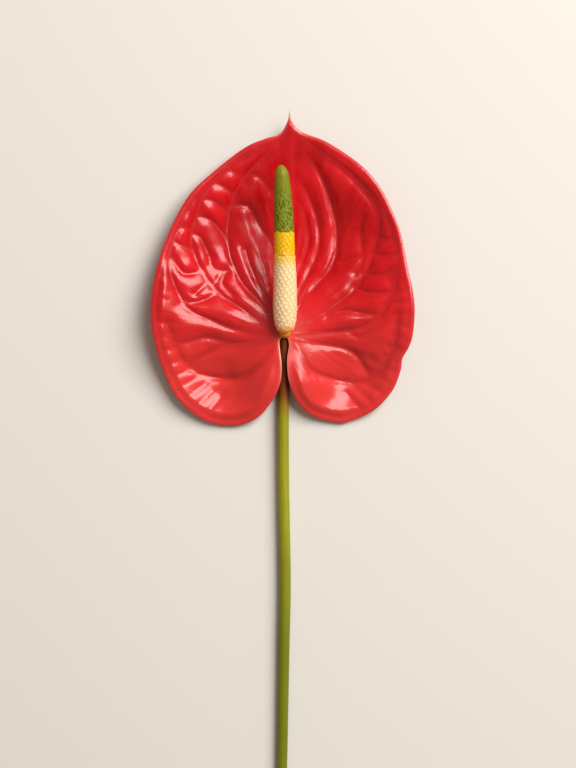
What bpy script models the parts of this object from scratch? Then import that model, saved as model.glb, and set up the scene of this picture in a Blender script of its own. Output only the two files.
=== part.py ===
# A cut anthurium, lying face up on a table: a waxy red spathe, the spadix that stands out of it with its
# florets in three stages of ripeness, and the long round flower stalk, cut across at its lower end.
#
# Sizes are in millimetres, and MM turns them into metres where a mesh is made. While it is modelled, the
# flower's own zero is where the two lobes of the spathe part, with +Y towards the tip, +X to the right and
# +Z up from the table. At the end one empty sets everything on the middle of the table under it.

import math

import bmesh
import bpy
import numpy as np
from mathutils import Vector
from mathutils.geometry import delaunay_2d_cdt

MM = 0.001

# Driving sizes of the whole flower
STALK_LENGTH = 322.0
STALK_RADIUS_NECK = 2.3
STALK_RADIUS_HEAD = 2.65
STALK_RADIUS_MIDDLE = 2.75
STALK_RADIUS_FOOT = 2.5
BLADE_THICKNESS = 0.9
BASE_THICKENING = 0.6
BASE_THICKENING_REACH = 7.0
RIM_THICKNESS = 0.7
GAP = 0.3

# The three places where the spathe rests on the table, and how much thicker it is there
RESTS = [(-28.5, -19.2), (28.0, -20.3), (0.5, 47.0)]
REST_THICKENING = 0.5
REST_REACH = 6.0

# Colours and finish, as linear values
RED = (0.60, 0.012, 0.018, 1.0)
CREAM = (0.87, 0.70, 0.40, 1.0)
YELLOW = (0.83, 0.56, 0.03, 1.0)
GREEN = (0.20, 0.33, 0.03, 1.0)
STALK_GREEN = (0.27, 0.29, 0.03, 1.0)
WAXY = 0.28
SATIN = 0.5

# Spathe margin, from the parting of the lobes round the left side to the tip, and back down the right side
LEFT_MARGIN = [(0.2, 0.2), (-1.5, -0.6), (-2.1, -2.9), (-1.7, -6.8), (-1.1, -13.5), (-1.8, -21.2),
               (-5.5, -29.4), (-12.9, -37.7), (-23.9, -41.0), (-36.8, -38.6), (-48.8, -29.0),
               (-55.2, -17.0), (-59.1, -4.6), (-61.2, 11.0), (-59.3, 27.1), (-54.3, 44.6),
               (-44.6, 63.9), (-33.4, 75.5), (-18.7, 87.1), (-8.9, 91.7), (-3.4, 93.3), (-0.9, 95.1),
               (0.9, 98.2), (2.1, 101.2), (2.5, 105.0)]
RIGHT_MARGIN = [(2.5, 105.0), (3.1, 101.2), (4.6, 98.2), (7.1, 95.7), (10.1, 93.9), (19.9, 89.9),
                (34.7, 79.7), (43.9, 69.3), (50.6, 56.0), (54.3, 44.6), (57.3, 29.5), (58.9, 22.5),
                (60.0, 12.4), (59.2, 1.0), (57.5, -4.6), (55.2, -8.6), (54.4, -11.0), (53.8, -15.6),
                (50.1, -24.8), (41.4, -34.0), (30.4, -38.9), (23.9, -39.5), (12.9, -36.3), (6.0, -29.9),
                (2.3, -20.7), (1.4, -12.0), (1.7, -7.8), (2.3, -3.7), (1.6, -0.5), (0.2, 0.2)]

# Height of the spathe's upper face above the table, on the right half; the left half mirrors it.
# It is a shallow bowl behind the spadix, a shoulder from the base to each side, and two lobes that fall
# away from their raised lips over the stalk down to the table.
FORM = [(0.0, 104.5, 11.5), (0.0, 92.0, 8.6), (0.0, 70.0, 3.2), (0.0, 48.0, 0.2), (0.0, 28.0, 2.5),
        (0.0, 12.0, 7.6), (0.0, 2.0, 9.3),
        (18.0, 89.0, 9.8), (28.0, 60.0, 4.8), (26.0, 42.0, 2.6), (28.0, 24.0, 5.3), (28.0, 7.0, 8.4),
        (28.0, -6.0, 4.4), (27.0, -17.0, 0.7), (26.0, -28.0, 1.2), (26.0, -39.0, 3.2),
        (40.0, 72.5, 12.4), (45.0, 42.0, 8.6), (48.0, 20.0, 10.6), (49.0, 4.0, 10.4), (46.0, -9.0, 6.4),
        (42.0, -22.0, 3.4), (52.0, 52.0, 13.6), (58.0, 26.0, 14.4), (59.0, 6.0, 13.6), (54.0, -12.0, 9.4),
        (45.0, -31.0, 6.4), (1.8, -4.0, 9.8), (1.6, -13.0, 11.0), (4.0, -26.0, 9.6), (12.0, -36.0, 5.8),
        (12.0, -20.0, 7.4), (12.0, -8.0, 8.1)]

# Main veins, each an impressed line: points from the base outwards, depth from 0 to 1, half width
VEINS = [
    ([(0, 1.5), (-9, 1.8), (-19, 2.6), (-27, 5), (-35, 8.5), (-41, 11), (-46.5, 16), (-51.5, 27), (-53, 35),
      (-52, 43), (-49.2, 51), (-41, 65), (-33, 75), (-22, 83), (-10, 89), (1, 95)], 0.95, 2.3),
    ([(-2, 3), (-12, 8), (-21, 14.3), (-30, 20), (-37.7, 30), (-42, 40), (-43, 47), (-39.3, 60), (-34, 70),
      (-25, 79), (-12, 87)], 1.0, 2.2),
    ([(-1, 4), (-6, 9), (-12.4, 17.5), (-19.3, 25.3), (-24.8, 37.3), (-26.5, 50), (-25, 60), (-21, 70),
      (-13, 80), (-3, 89)], 1.0, 2.0),
    ([(-1, 5), (-5, 11), (-12.9, 26), (-16.6, 35.4), (-18, 41)], 0.6, 1.8),
    ([(-2, 40), (-9.4, 49.7), (-12.7, 54.2), (-16.4, 60.6), (-20.5, 61.4), (-25.4, 60.5)], 0.85, 2.0),
    ([(-1, 60), (-4, 66), (-10, 73.2), (-15, 75.5), (-19.5, 73)], 0.8, 2.2),
    ([(-26.5, 45), (-29.5, 49.8), (-34, 54.2), (-40, 56.5)], 0.9, 2.0),
    ([(-25.5, 55), (-28, 59), (-33, 63), (-38.5, 64)], 0.9, 2.0),
    ([(-23.5, 65.5), (-28.5, 70), (-33.5, 71.5)], 0.85, 2.0),
    ([(-19.5, 72), (-22, 75.5), (-27.5, 78.5)], 0.8, 2.0),
    ([(-34.5, 37.3), (-33.6, 32.7), (-29, 30.4), (-25.8, 31)], 0.8, 1.7),
    ([(-41.5, 48), (-38.6, 46), (-35, 38.2), (-33.6, 32.7)], 0.8, 1.7),
    ([(-29, 30.4), (-31, 26.2), (-33, 24)], 0.8, 1.6),
    ([(-26.7, 30.4), (-28.5, 24.4), (-23.5, 18.9)], 0.7, 1.6),
    ([(-51.5, 36.3), (-47.4, 30.1), (-44.2, 29.2), (-38, 30.6)], 0.85, 1.9),
    ([(-46.9, 16.3), (-42.3, 15.9), (-38.2, 16.6), (-30.4, 20.2)], 0.85, 1.9),
    ([(-50, 51), (-42.8, 49.7)], 0.7, 1.7),
    ([(-52, 44.6), (-43.2, 40.5)], 0.7, 1.7),
    ([(-35, 25.8), (-41, 20)], 0.6, 1.6),
    ([(-3, -0.5), (-12, -2.2), (-25, -2.5), (-36, 0), (-44, -2.3), (-50, -3)], 0.9, 2.4),
    ([(-3, -1.5), (-18, -3.4), (-30.4, -4.6), (-39.6, -10.1), (-44.2, -12.4)], 0.6, 1.8),
    ([(-54, 6), (-50, -4), (-46.9, -10.6), (-42, -15.2), (-36.8, -17.5), (-28, -19), (-20, -18.3),
      (-13, -14), (-6, -7), (-3, -2)], 0.9, 2.0),
    ([(2, 1.5), (12, 2), (24, 2.5), (34, 4), (42, 8), (47, 14), (50.5, 22), (52, 32), (51.5, 42), (48.5, 52),
      (43.5, 61), (36, 70), (26, 79), (14, 87), (4, 95)], 0.95, 2.2),
    ([(3, 3), (14, 8.5), (24, 15), (33, 22.5), (38.6, 31.7), (42, 42), (43.7, 55), (38, 66), (28, 77),
      (15, 86)], 0.9, 2.1),
    ([(2, 5), (7.4, 15.6), (16.6, 26.2), (20.7, 30.8), (23.8, 37.7), (24.6, 45), (24, 53), (22, 61), (19, 70),
      (14.5, 79), (7, 88)], 1.0, 2.4),
    ([(2, 8), (6, 18), (10.5, 28), (14.5, 37), (16.4, 45), (15.5, 54), (12.5, 63), (9, 70)], 0.8, 2.0),
    ([(3, 14), (5, 24), (8, 34), (10.8, 42), (11.4, 48), (10, 56), (7.5, 62)], 0.5, 1.6),
    ([(33, 22.5), (40, 20), (49, 20.5)], 0.8, 1.8),
    ([(37, 29), (43, 28.4), (51, 29.5)], 0.8, 1.8),
    ([(41, 38), (46, 37.4), (52, 38.5)], 0.8, 1.8),
    ([(43, 46), (47, 44.6), (51, 45)], 0.7, 1.8),
    ([(20, 9.5), (28, 12), (36, 11), (45, 9.4)], 0.85, 2.0),
    ([(27.6, 34.5), (31.3, 36.3), (36.8, 37)], 0.5, 1.6),
    ([(36.8, 55.2), (35, 50.6), (36, 42), (35.9, 34), (33.1, 29.4)], 0.5, 1.8),
    ([(3, -0.5), (14.3, -2.8), (28, -5), (34, -8.7), (39.5, -17)], 0.95, 2.4),
    ([(30, 3.4), (34, 0), (42.3, 4.6), (49, 9.4)], 0.6, 1.6),
    ([(5, -3), (12, -14.5), (20, -18.4), (27, -20.3), (35, -21), (42, -18), (48, -11), (51.5, -2),
      (52, 10)], 0.9, 2.0),
]

# Short ribs that run from the collecting veins out to the margin: first and last Y of the stretch of
# margin that they cross, their pitch along it, how far in they reach, and their depth
LEFT_RIBS = [(-38.0, -16.0, 6.2, 14.0, 0.38), (-14.0, 12.0, 7.0, 9.0, 0.5), (18.0, 60.0, 11.0, 7.5, 0.22)]
RIGHT_RIBS = [(-38.0, -16.0, 6.4, 14.0, 0.5), (-14.0, 34.0, 5.8, 8.5, 0.65), (36.0, 62.0, 8.0, 7.5, 0.4)]
RIB_HALF_WIDTH = 2.3
RIB_INNERMOST = 22.0
RIB_FOCUS = (0.0, 6.0)

# How far the cells between the veins puff up, and where the puffing fades
PUFF = 2.4
PUFF_BASE = (4.0, 30.0)
PUFF_TIP = (66.0, 94.0)
PUFF_TIP_LEFT = 0.25
PUFF_MIDDLE = (3.0, 20.0)
PUFF_MIDDLE_LEFT = 0.25
PUFF_RIM = (1.4, 6.0)
VEIN_FLOOR = 0.45
RIM_ROLL_DEPTH = 0.75
RIM_ROLL_WIDTH = 1.7
RIM_ROLL_BASE = (10.0, 30.0)
MIDRIB_HEIGHT = 0.35
MIDRIB_HALF_WIDTH = 2.4
MIDRIB = [(0.6, 1.0), (0.6, 30.0), (1.2, 70.0), (2.2, 96.0), (2.5, 105.0)]

# Spadix: its axis rises from the base at a low angle and leans a little to the left
SPADIX_START = (0.5, 1.85, 14.0)
SPADIX_RISE = 0.143
SPADIX_LEAN = [(0.0, 0.0), (20.0, 0.0), (38.0, -0.25), (53.0, -0.6), (64.0, -1.05), (73.5, -1.55),
               (76.4, -1.75)]
SPADIX_PROFILE = [(0.0, 1.4), (0.4, 2.4), (1.4, 3.5), (3.3, 4.35), (6.1, 5.0), (11.3, 5.47),
                  (18.5, 5.3), (25.3, 5.15), (32.2, 4.9), (37.0, 4.72), (46.4, 4.5), (52.2, 4.32),
                  (57.5, 4.13), (62.9, 3.9), (68.2, 3.55), (72.2, 3.17), (74.0, 2.65), (75.4, 1.85),
                  (76.1, 1.05), (76.4, 0.4)]
SPADIX_END_RINGS = (0.4, 0.9)
FLORET_COLUMNS = 12
FLORET_ROW = 1.35
FLORET_HEIGHT = 0.42
CREAM_END = 35.4
YELLOW_END = 46.2
STIPE_RADIUS = 2.0
STIPE_FOOT = (0.5, 2.3)
STIPE_SIDES = 12

# Flower stalk: the middle of it, from just under the spathe's base down along the table
STALK_ROUTE = [(0.4, 4.9, 6.3), (0.5, 0.0, 5.2), (0.4, -6.0, 4.7), (0.15, -14.0, 4.3),
               (-0.35, -29.0, 3.6), (-0.3, -66.0, 2.95), (0.4, -112.0, 2.75), (-0.1, -144.0, 2.7),
               (-1.0, -198.0, 2.6), (-2.2, -260.0, 2.5), (-3.4, 0.0, 2.5)]
STALK_SIDES = 16
STALK_RING_PITCH = 9.0
STALK_NECK_PITCH = 2.6
STALK_CUT_SLANT = 1.4

# Spacing of the mesh points on the spathe
MARGIN_PITCH = 2.5
VEIN_PITCH = 3.0
CELL_PITCH = 2.55
CLEAR_OF_LINES = 1.25


def smooth_path(points, pitch):
    """Points every pitch or so along a smooth curve through the given points, ends included."""
    given = np.array(points, dtype=float)
    before = 2 * given[0] - given[1]
    after = 2 * given[-1] - given[-2]
    padded = np.vstack([before, given, after])
    dense = [given[0]]
    for a, b, c, d in zip(padded, padded[1:], padded[2:], padded[3:]):
        for t in np.linspace(0.0, 1.0, 13)[1:]:
            dense.append(0.5 * (2 * b + (c - a) * t + (2 * a - 5 * b + 4 * c - d) * t * t
                                + (3 * b - a - 3 * c + d) * t ** 3))
    dense = np.array(dense)
    along = np.concatenate([[0.0], np.cumsum(np.linalg.norm(np.diff(dense, axis=0), axis=1))])
    stops = np.linspace(0.0, along[-1], max(2, round(along[-1] / pitch) + 1))
    return np.column_stack([np.interp(stops, along, dense[:, k]) for k in range(dense.shape[1])])


def fade(low, high, value):
    """0 below low, 1 above high, and a smooth rise between them."""
    t = np.clip((value - low) / (high - low), 0.0, 1.0)
    return t * t * (3 - 2 * t)


def distance_to_line(xy, line):
    """Distance from each point to a polyline."""
    nearest = np.full(len(xy), 1e9)
    for start, end in zip(line, line[1:]):
        run = end - start
        t = np.clip(((xy - start) @ run) / (run @ run), 0.0, 1.0)
        gap = np.linalg.norm(xy - start - t[:, None] * run, axis=1)
        nearest = np.minimum(nearest, gap)
    return nearest


def inside(xy, ring):
    """Which points lie inside a closed outline."""
    crossing = np.zeros(len(xy), dtype=bool)
    for a, b in zip(ring, np.roll(ring, -1, axis=0)):
        straddles = (a[1] > xy[:, 1]) != (b[1] > xy[:, 1])
        reach = a[0] + (xy[:, 1] - a[1]) * (b[0] - a[0]) / np.where(b[1] == a[1], 1e-12, b[1] - a[1])
        crossing ^= straddles & (xy[:, 0] < reach)
    return crossing


class ThinPlate:
    """A smooth surface through a few heights, bent as a thin springy sheet bends."""

    def __init__(self, heights):
        mirrored = [(-x, y, z) for x, y, z in heights if x > 0]
        posts = np.array(heights + mirrored)
        self.at = posts[:, :2]
        n = len(posts)
        system = np.zeros((n + 3, n + 3))
        system[:n, :n] = self.bend(self.at)
        system[:n, n] = 1.0
        system[:n, n + 1:] = self.at
        system[n:, :n] = system[:n, n:].T
        self.weights = np.linalg.solve(system, np.concatenate([posts[:, 2], np.zeros(3)]))

    def bend(self, xy):
        r2 = ((xy[:, None, :] - self.at[None, :, :]) ** 2).sum(axis=2)
        return 0.5 * r2 * np.log(np.maximum(r2, 1e-12))

    def height(self, xy):
        n = len(self.at)
        return self.bend(xy) @ self.weights[:n] + self.weights[n] + xy @ self.weights[n + 1:]


left_edge = smooth_path(LEFT_MARGIN, MARGIN_PITCH)
right_edge = smooth_path(RIGHT_MARGIN, MARGIN_PITCH)
margin = np.vstack([left_edge[:-1], right_edge[:-1]])


def rib_lines(edge, stretches):
    """Ribs that point at the spathe's base, one every pitch along the given stretches of its margin."""
    along = np.concatenate([[0.0], np.cumsum(np.linalg.norm(np.diff(edge, axis=0), axis=1))])
    lines = []
    for first_y, last_y, pitch, reach, depth in stretches:
        flank = [k for k in range(len(edge)) if first_y <= edge[k][1] <= last_y
                 and abs(edge[k][0]) > RIB_INNERMOST]
        for s in np.arange(along[min(flank)], along[max(flank)], pitch):
            outer = np.array([np.interp(s, along, edge[:, 0]), np.interp(s, along, edge[:, 1])])
            inward = np.array(RIB_FOCUS) - outer
            inward /= np.linalg.norm(inward)
            lines.append((np.array([outer, outer + inward * reach]), depth))
    return lines


def vein_set():
    """Every impressed line of the spathe, as points, depth and half width."""
    lines = [(smooth_path(points, VEIN_PITCH), depth, width) for points, depth, width in VEINS]
    for line, depth in rib_lines(left_edge, LEFT_RIBS) + rib_lines(right_edge, RIGHT_RIBS):
        lines.append((line, depth, RIB_HALF_WIDTH))
    return lines


form = ThinPlate(FORM)
veins = vein_set()


def upper_face(xy):
    """Height of the spathe's upper face above the table."""
    base_distance = np.hypot(xy[:, 0], xy[:, 1])
    rim_distance = distance_to_line(xy, np.vstack([margin, margin[:1]]))
    puff = PUFF * fade(*PUFF_BASE, base_distance)
    puff *= 1 - (1 - PUFF_TIP_LEFT) * fade(*PUFF_TIP, xy[:, 1])
    upper_half = fade(-5.0, 10.0, xy[:, 1])
    across = PUFF_MIDDLE_LEFT + (1 - PUFF_MIDDLE_LEFT) * fade(*PUFF_MIDDLE, np.abs(xy[:, 0] - 0.6))
    puff *= 1 - upper_half * (1 - across)
    puff *= fade(*PUFF_RIM, rim_distance)
    for line, depth, width in veins:
        beside = np.hypot(distance_to_line(xy, line), VEIN_FLOOR) - VEIN_FLOOR
        puff *= 1 - depth * np.exp(-beside / width)
    rib = MIDRIB_HEIGHT * np.exp(-(distance_to_line(xy, np.array(MIDRIB)) / MIDRIB_HALF_WIDTH) ** 2)
    rib *= fade(8.0, 20.0, xy[:, 1])
    roll = RIM_ROLL_DEPTH * (1 - fade(0.0, RIM_ROLL_WIDTH, rim_distance))
    roll *= fade(*RIM_ROLL_BASE, base_distance)
    return np.maximum(form.height(xy) + puff + rib - roll, RIM_THICKNESS)


def lower_face(xy):
    """Height of its back, which follows the upper face and lies flat where it meets the table."""
    base_distance = np.hypot(xy[:, 0], xy[:, 1] - 3.0)
    thickness = BLADE_THICKNESS + BASE_THICKENING * np.exp(-(base_distance / BASE_THICKENING_REACH) ** 2)
    for x, y in RESTS:
        rest_distance = np.hypot(xy[:, 0] - x, xy[:, 1] - y)
        thickness += REST_THICKENING * np.exp(-(rest_distance / REST_REACH) ** 2)
    rim_distance = distance_to_line(xy, np.vstack([margin, margin[:1]]))
    thickness -= (BLADE_THICKNESS - RIM_THICKNESS) * (1 - fade(0.0, 2.0, rim_distance))
    return np.maximum(upper_face(xy) - thickness, 0.0)


def cell_points():
    """An even field of points over the spathe, clear of its margin and its veins."""
    row = CELL_PITCH * math.sqrt(3) / 2
    field = []
    for j, y in enumerate(np.arange(-42.0, 105.0, row)):
        shift = 0.5 * CELL_PITCH * (j % 2)
        field += [(x + shift, y) for x in np.arange(-62.0, 61.0, CELL_PITCH)]
    field = np.array(field)
    field = field[inside(field, margin)]
    clear = distance_to_line(field, np.vstack([margin, margin[:1]])) > CLEAR_OF_LINES
    for line, depth, width in veins:
        clear &= distance_to_line(field, line) > CLEAR_OF_LINES
    return field[clear]


def thinned(points, taken, least):
    """The points that keep a least distance from those taken before them."""
    kept = []
    for point in points:
        if all(math.dist(point, other) >= least for other in taken + kept):
            kept.append(tuple(point))
    return kept


def blade_net():
    """The spathe's plan, split into triangles that have points along its veins."""
    points = [tuple(p) for p in margin]
    on_veins = []
    for line, depth, width in veins:
        held = line[inside(line, margin)]
        held = held[distance_to_line(held, np.vstack([margin, margin[:1]])) > CLEAR_OF_LINES]
        on_veins += thinned(held, on_veins, CLEAR_OF_LINES)
    points += on_veins + [tuple(p) for p in cell_points()]
    ring = [list(range(len(margin)))[::-1]]
    plan = delaunay_2d_cdt([Vector(p) for p in points], [], ring, 1, 1e-6)
    xy = np.array([tuple(v) for v in plan[0]])
    faces = []
    for face in plan[2]:
        a, b, c = (xy[k] for k in face)
        turn = (b[0] - a[0]) * (c[1] - a[1]) - (b[1] - a[1]) * (c[0] - a[0])
        faces.append(tuple(face) if turn > 0 else tuple(face)[::-1])
    return xy, faces


def open_edges(faces):
    """Edges that only one face uses, in that face's direction."""
    edges = {(f[k], f[(k + 1) % 3]) for f in faces for k in range(3)}
    return [(a, b) for a, b in edges if (b, a) not in edges]


def spathe_mesh():
    """Upper and lower face split alike, joined by a wall round the margin."""
    xy, faces = blade_net()
    top = np.column_stack([xy, upper_face(xy)])
    bottom = np.column_stack([xy, lower_face(xy)])
    count = len(xy)
    solid = list(faces)
    solid += [tuple(k + count for k in face[::-1]) for face in faces]
    for a, b in sorted(open_edges(faces)):
        solid.append((b, a, a + count))
        solid.append((b, a + count, b + count))
    return np.vstack([top, bottom]), solid


def spadix_point(s):
    """Middle of the spadix at a distance s along it, and its radius there."""
    x, y, z = SPADIX_START
    rise = math.hypot(1.0, SPADIX_RISE)
    lean = np.interp(s, [p[0] for p in SPADIX_LEAN], [p[1] for p in SPADIX_LEAN])
    radius = np.interp(s, [p[0] for p in SPADIX_PROFILE], [p[1] for p in SPADIX_PROFILE])
    return np.array([x + lean, y + s / rise, z + s * SPADIX_RISE / rise]), radius


def spadix_ring(s, radii):
    """Points round the spadix, square to its axis, starting at the right."""
    middle, _ = spadix_point(s)
    upward = np.array([0.0, -SPADIX_RISE, 1.0]) / math.hypot(1.0, SPADIX_RISE)
    turns = np.arange(len(radii)) * 2 * math.pi / len(radii)
    return [middle + r * (math.cos(a) * np.array([1.0, 0.0, 0.0]) + math.sin(a) * upward)
            for a, r in zip(turns, radii)]


def floret_height(s):
    """Florets stand proud low down, and melt into the smooth tip."""
    return FLORET_HEIGHT * (1 - 0.72 * fade(46.0, 70.0, s)) * (1 - fade(69.0, 74.0, s)) * fade(0.2, 2.5, s)


def spadix_stops(first, last):
    """Where its rows of florets lie, with closer rings where the spadix rounds off at its two ends."""
    rows = max(2, round((last - first) / FLORET_ROW))
    stops = list(np.linspace(first, last, rows + 1))
    if first == 0.0:
        stops[1:1] = SPADIX_END_RINGS
    if last == SPADIX_PROFILE[-1][0]:
        stops[-1:-1] = [last - ring for ring in reversed(SPADIX_END_RINGS)]
    return stops


def spadix_mesh(first, last):
    """One colour zone: rows of four-sided florets, each a raised point between four hollows."""
    around = 2 * FLORET_COLUMNS
    stops = spadix_stops(first, last)
    rows = len(stops) - 1
    points = []
    for j, s in enumerate(stops):
        _, radius = spadix_point(s)
        proud = floret_height(s) if 0 < j < rows else 0.0
        radii = [radius + (proud if (i + j) % 2 == 0 else -proud * 0.5) for i in range(around)]
        points += spadix_ring(s, radii)
    faces = []
    for j in range(rows):
        for i in range(around):
            here = j * around + i
            beside = j * around + (i + 1) % around
            above = here + around
            above_beside = beside + around
            if (i + j) % 2 == 0:
                faces += [(here, beside, above), (beside, above_beside, above)]
            else:
                faces += [(here, beside, above_beside), (here, above_beside, above)]
    start, end = len(points), len(points) + 1
    points += [spadix_point(first)[0], spadix_point(last)[0]]
    top_row = rows * around
    for i in range(around):
        beside = (i + 1) % around
        faces.append((start, beside, i))
        faces.append((end, top_row + i, top_row + beside))
    return np.array(points), [face[::-1] for face in faces]


def stalk_radius(y):
    """The stalk is a little thinner at its neck and towards its foot."""
    marks = [(5.0, STALK_RADIUS_NECK), (-14.0, STALK_RADIUS_HEAD), (-120.0, STALK_RADIUS_MIDDLE),
             (-198.0, STALK_RADIUS_FOOT), (-STALK_LENGTH, STALK_RADIUS_FOOT)]
    return float(np.interp(-y, [-m[0] for m in marks], [m[1] for m in marks]))


def stalk_centres():
    """The stalk's middle line, finer at the neck, and low enough to rest on the table further down."""
    route = [list(p) for p in STALK_ROUTE]
    route[-1][1] = -STALK_LENGTH
    fine = smooth_path(route, STALK_NECK_PITCH)
    neck = [p for p in fine if p[1] > -16.0]
    body = smooth_path(route, STALK_RING_PITCH)
    rest = [p for p in body if p[1] < -16.0 - STALK_RING_PITCH * 0.5]
    centres = np.array(neck + rest)
    for p in centres:
        floor = stalk_radius(p[1])
        p[2] = max(p[2], floor) if p[1] > -120.0 else floor
    return centres


def stalk_mesh():
    """A round stalk swept along its middle line, its neck ending just under the spathe's base."""
    centres = stalk_centres()
    along = np.gradient(centres, axis=0)
    along /= np.linalg.norm(along, axis=1)[:, None]
    points = []
    for centre, direction in zip(centres, along):
        side = np.cross(direction, [0.0, 0.0, 1.0])
        side /= np.linalg.norm(side)
        upward = np.cross(side, direction)
        radius = stalk_radius(centre[1])
        for i in range(STALK_SIDES):
            a = 2 * math.pi * i / STALK_SIDES - math.pi / 2
            points.append(centre + radius * (math.cos(a) * side + math.sin(a) * upward))
    points = np.array(points)
    neck = points[:STALK_SIDES]
    back = -along[0]
    for _ in range(12):
        target = lower_face(neck[:, :2]) - GAP
        neck += ((target - neck[:, 2]) / back[2] * 0.7)[:, None] * back
    foot = points[-STALK_SIDES:]
    foot[:, 1] += STALK_CUT_SLANT * (foot[:, 2] - STALK_RADIUS_FOOT) / STALK_RADIUS_FOOT
    faces = []
    for j in range(len(centres) - 1):
        for i in range(STALK_SIDES):
            here = j * STALK_SIDES + i
            beside = j * STALK_SIDES + (i + 1) % STALK_SIDES
            faces += [(here, here + STALK_SIDES, beside), (beside, here + STALK_SIDES, beside + STALK_SIDES)]
    middle_neck = neck.mean(axis=0)
    middle_neck[2] = lower_face(middle_neck[None, :2])[0] - GAP
    points = np.vstack([points, middle_neck, foot.mean(axis=0)])
    last_ring = (len(centres) - 1) * STALK_SIDES
    top, end = len(points) - 2, len(points) - 1
    for i in range(STALK_SIDES):
        beside = (i + 1) % STALK_SIDES
        faces.append((top, i, beside))
        faces.append((end, last_ring + beside, last_ring + i))
    return points, faces


def stipe_mesh():
    """The very short stalk of the spadix, from the spathe's base up into the spadix."""
    x, y = STIPE_FOOT
    turns = [2 * math.pi * k / STIPE_SIDES for k in range(STIPE_SIDES)]
    ring = np.array([(x + STIPE_RADIUS * math.cos(a), y + STIPE_RADIUS * math.sin(a)) for a in turns])
    foot = np.column_stack([ring, upper_face(ring) + GAP])
    head_middle = spadix_point(2.6)[0]
    head = np.column_stack([ring - STIPE_FOOT + head_middle[:2], np.full(STIPE_SIDES, head_middle[2])])
    foot_middle = foot.mean(axis=0)
    foot_middle[2] = foot[:, 2].max()
    points = np.vstack([foot, head, foot_middle, head.mean(axis=0)])
    n = STIPE_SIDES
    faces = []
    for i in range(n):
        j = (i + 1) % n
        faces += [(i, j, n + j), (i, n + j, n + i), (2 * n, j, i), (2 * n + 1, n + i, n + j)]
    return points, faces


def finish(name, colour, roughness):
    """A plain Principled material for one piece."""
    material = bpy.data.materials.new(name + "_finish")
    material.use_nodes = True
    shader = material.node_tree.nodes["Principled BSDF"]
    shader.inputs["Base Color"].default_value = colour
    shader.inputs["Roughness"].default_value = roughness
    shader.inputs["Metallic"].default_value = 0.0
    return material


def make_object(name, points, faces, colour, roughness):
    """One closed solid as a named object, smooth shaded, its faces pointing out."""
    mesh = bpy.data.meshes.new(name)
    mesh.from_pydata([tuple(p * MM) for p in points], [], [tuple(int(k) for k in f) for f in faces])
    shape = bmesh.new()
    shape.from_mesh(mesh)
    bmesh.ops.recalc_face_normals(shape, faces=shape.faces[:])
    shape.to_mesh(mesh)
    shape.free()
    mesh.shade_smooth()
    mesh.set_sharp_from_angle(angle=math.radians(50.0))
    mesh.materials.append(finish(name, colour, roughness))
    piece = bpy.data.objects.new(name, mesh)
    bpy.context.scene.collection.objects.link(piece)
    return piece


def join_into(piece, added):
    """Fuse a second solid into a piece."""
    union = piece.modifiers.new("joined", "BOOLEAN")
    union.operation = "UNION"
    union.solver = "EXACT"
    union.object = added
    seen = piece.evaluated_get(bpy.context.evaluated_depsgraph_get())
    fused = bpy.data.meshes.new_from_object(seen)
    piece.modifiers.clear()
    piece.data = fused
    bpy.data.objects.remove(added)


for old in list(bpy.data.objects):
    bpy.data.objects.remove(old)

spathe = make_object("spathe", *spathe_mesh(), RED, WAXY)
stalk = make_object("peduncle", *stalk_mesh(), STALK_GREEN, SATIN)
spadix_length = SPADIX_PROFILE[-1][0]
cream = make_object("spadix_cream", *spadix_mesh(0.0, CREAM_END - GAP / 2), CREAM, SATIN)
stipe = make_object("stipe", *stipe_mesh(), CREAM, SATIN)
join_into(cream, stipe)
yellow = make_object("spadix_yellow", *spadix_mesh(CREAM_END + GAP / 2, YELLOW_END - GAP / 2), YELLOW, SATIN)
green = make_object("spadix_green", *spadix_mesh(YELLOW_END + GAP / 2, spadix_length), GREEN, SATIN)

# Everything hangs on one empty, which brings the middle of the flower's box over the frame's zero
flower = [spathe, stalk, cream, yellow, green]
corners = np.array([tuple(v.co) for piece in flower for v in piece.data.vertices])
middle = (corners.min(axis=0) + corners.max(axis=0)) / 2
table_spot = bpy.data.objects.new("table_spot", None)
bpy.context.scene.collection.objects.link(table_spot)
table_spot.location = (-middle[0], -middle[1], -corners[:, 2].min())
for piece in flower:
    piece.parent = table_spot
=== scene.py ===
import math

import bmesh
import bpy
import numpy as np
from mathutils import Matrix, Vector, noise
from mathutils.geometry import delaunay_2d_cdt


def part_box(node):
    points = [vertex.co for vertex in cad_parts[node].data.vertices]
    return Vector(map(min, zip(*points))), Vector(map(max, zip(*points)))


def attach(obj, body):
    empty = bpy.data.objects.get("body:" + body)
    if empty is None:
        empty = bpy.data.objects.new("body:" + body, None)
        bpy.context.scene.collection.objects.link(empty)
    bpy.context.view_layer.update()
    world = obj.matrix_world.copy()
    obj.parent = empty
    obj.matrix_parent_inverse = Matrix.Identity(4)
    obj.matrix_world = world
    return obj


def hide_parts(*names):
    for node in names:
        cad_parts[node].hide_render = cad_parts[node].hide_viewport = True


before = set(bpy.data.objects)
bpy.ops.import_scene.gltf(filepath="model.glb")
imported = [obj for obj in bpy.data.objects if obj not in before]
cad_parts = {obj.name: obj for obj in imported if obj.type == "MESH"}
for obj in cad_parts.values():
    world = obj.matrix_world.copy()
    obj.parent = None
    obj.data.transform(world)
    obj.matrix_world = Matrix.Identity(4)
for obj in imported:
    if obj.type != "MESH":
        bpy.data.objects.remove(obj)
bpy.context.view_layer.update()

# The spathe
# It is one waxy red leaf about 0.9 mm thick, grown on the end of the stalk, and lies on its bowl and lobes.
# Its sizes are in millimetres from where the lobes part, with +Y to the tip and +Z up.
MM = 0.001
SPATHE_RIGHT = 60.0
SPATHE_TOP = 105.0
CURVE_STEPS = 12
BLADE_THICKNESS = 0.9
BASE_THICKENING = 0.6
BASE_THICKENING_REACH = 7.0
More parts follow.
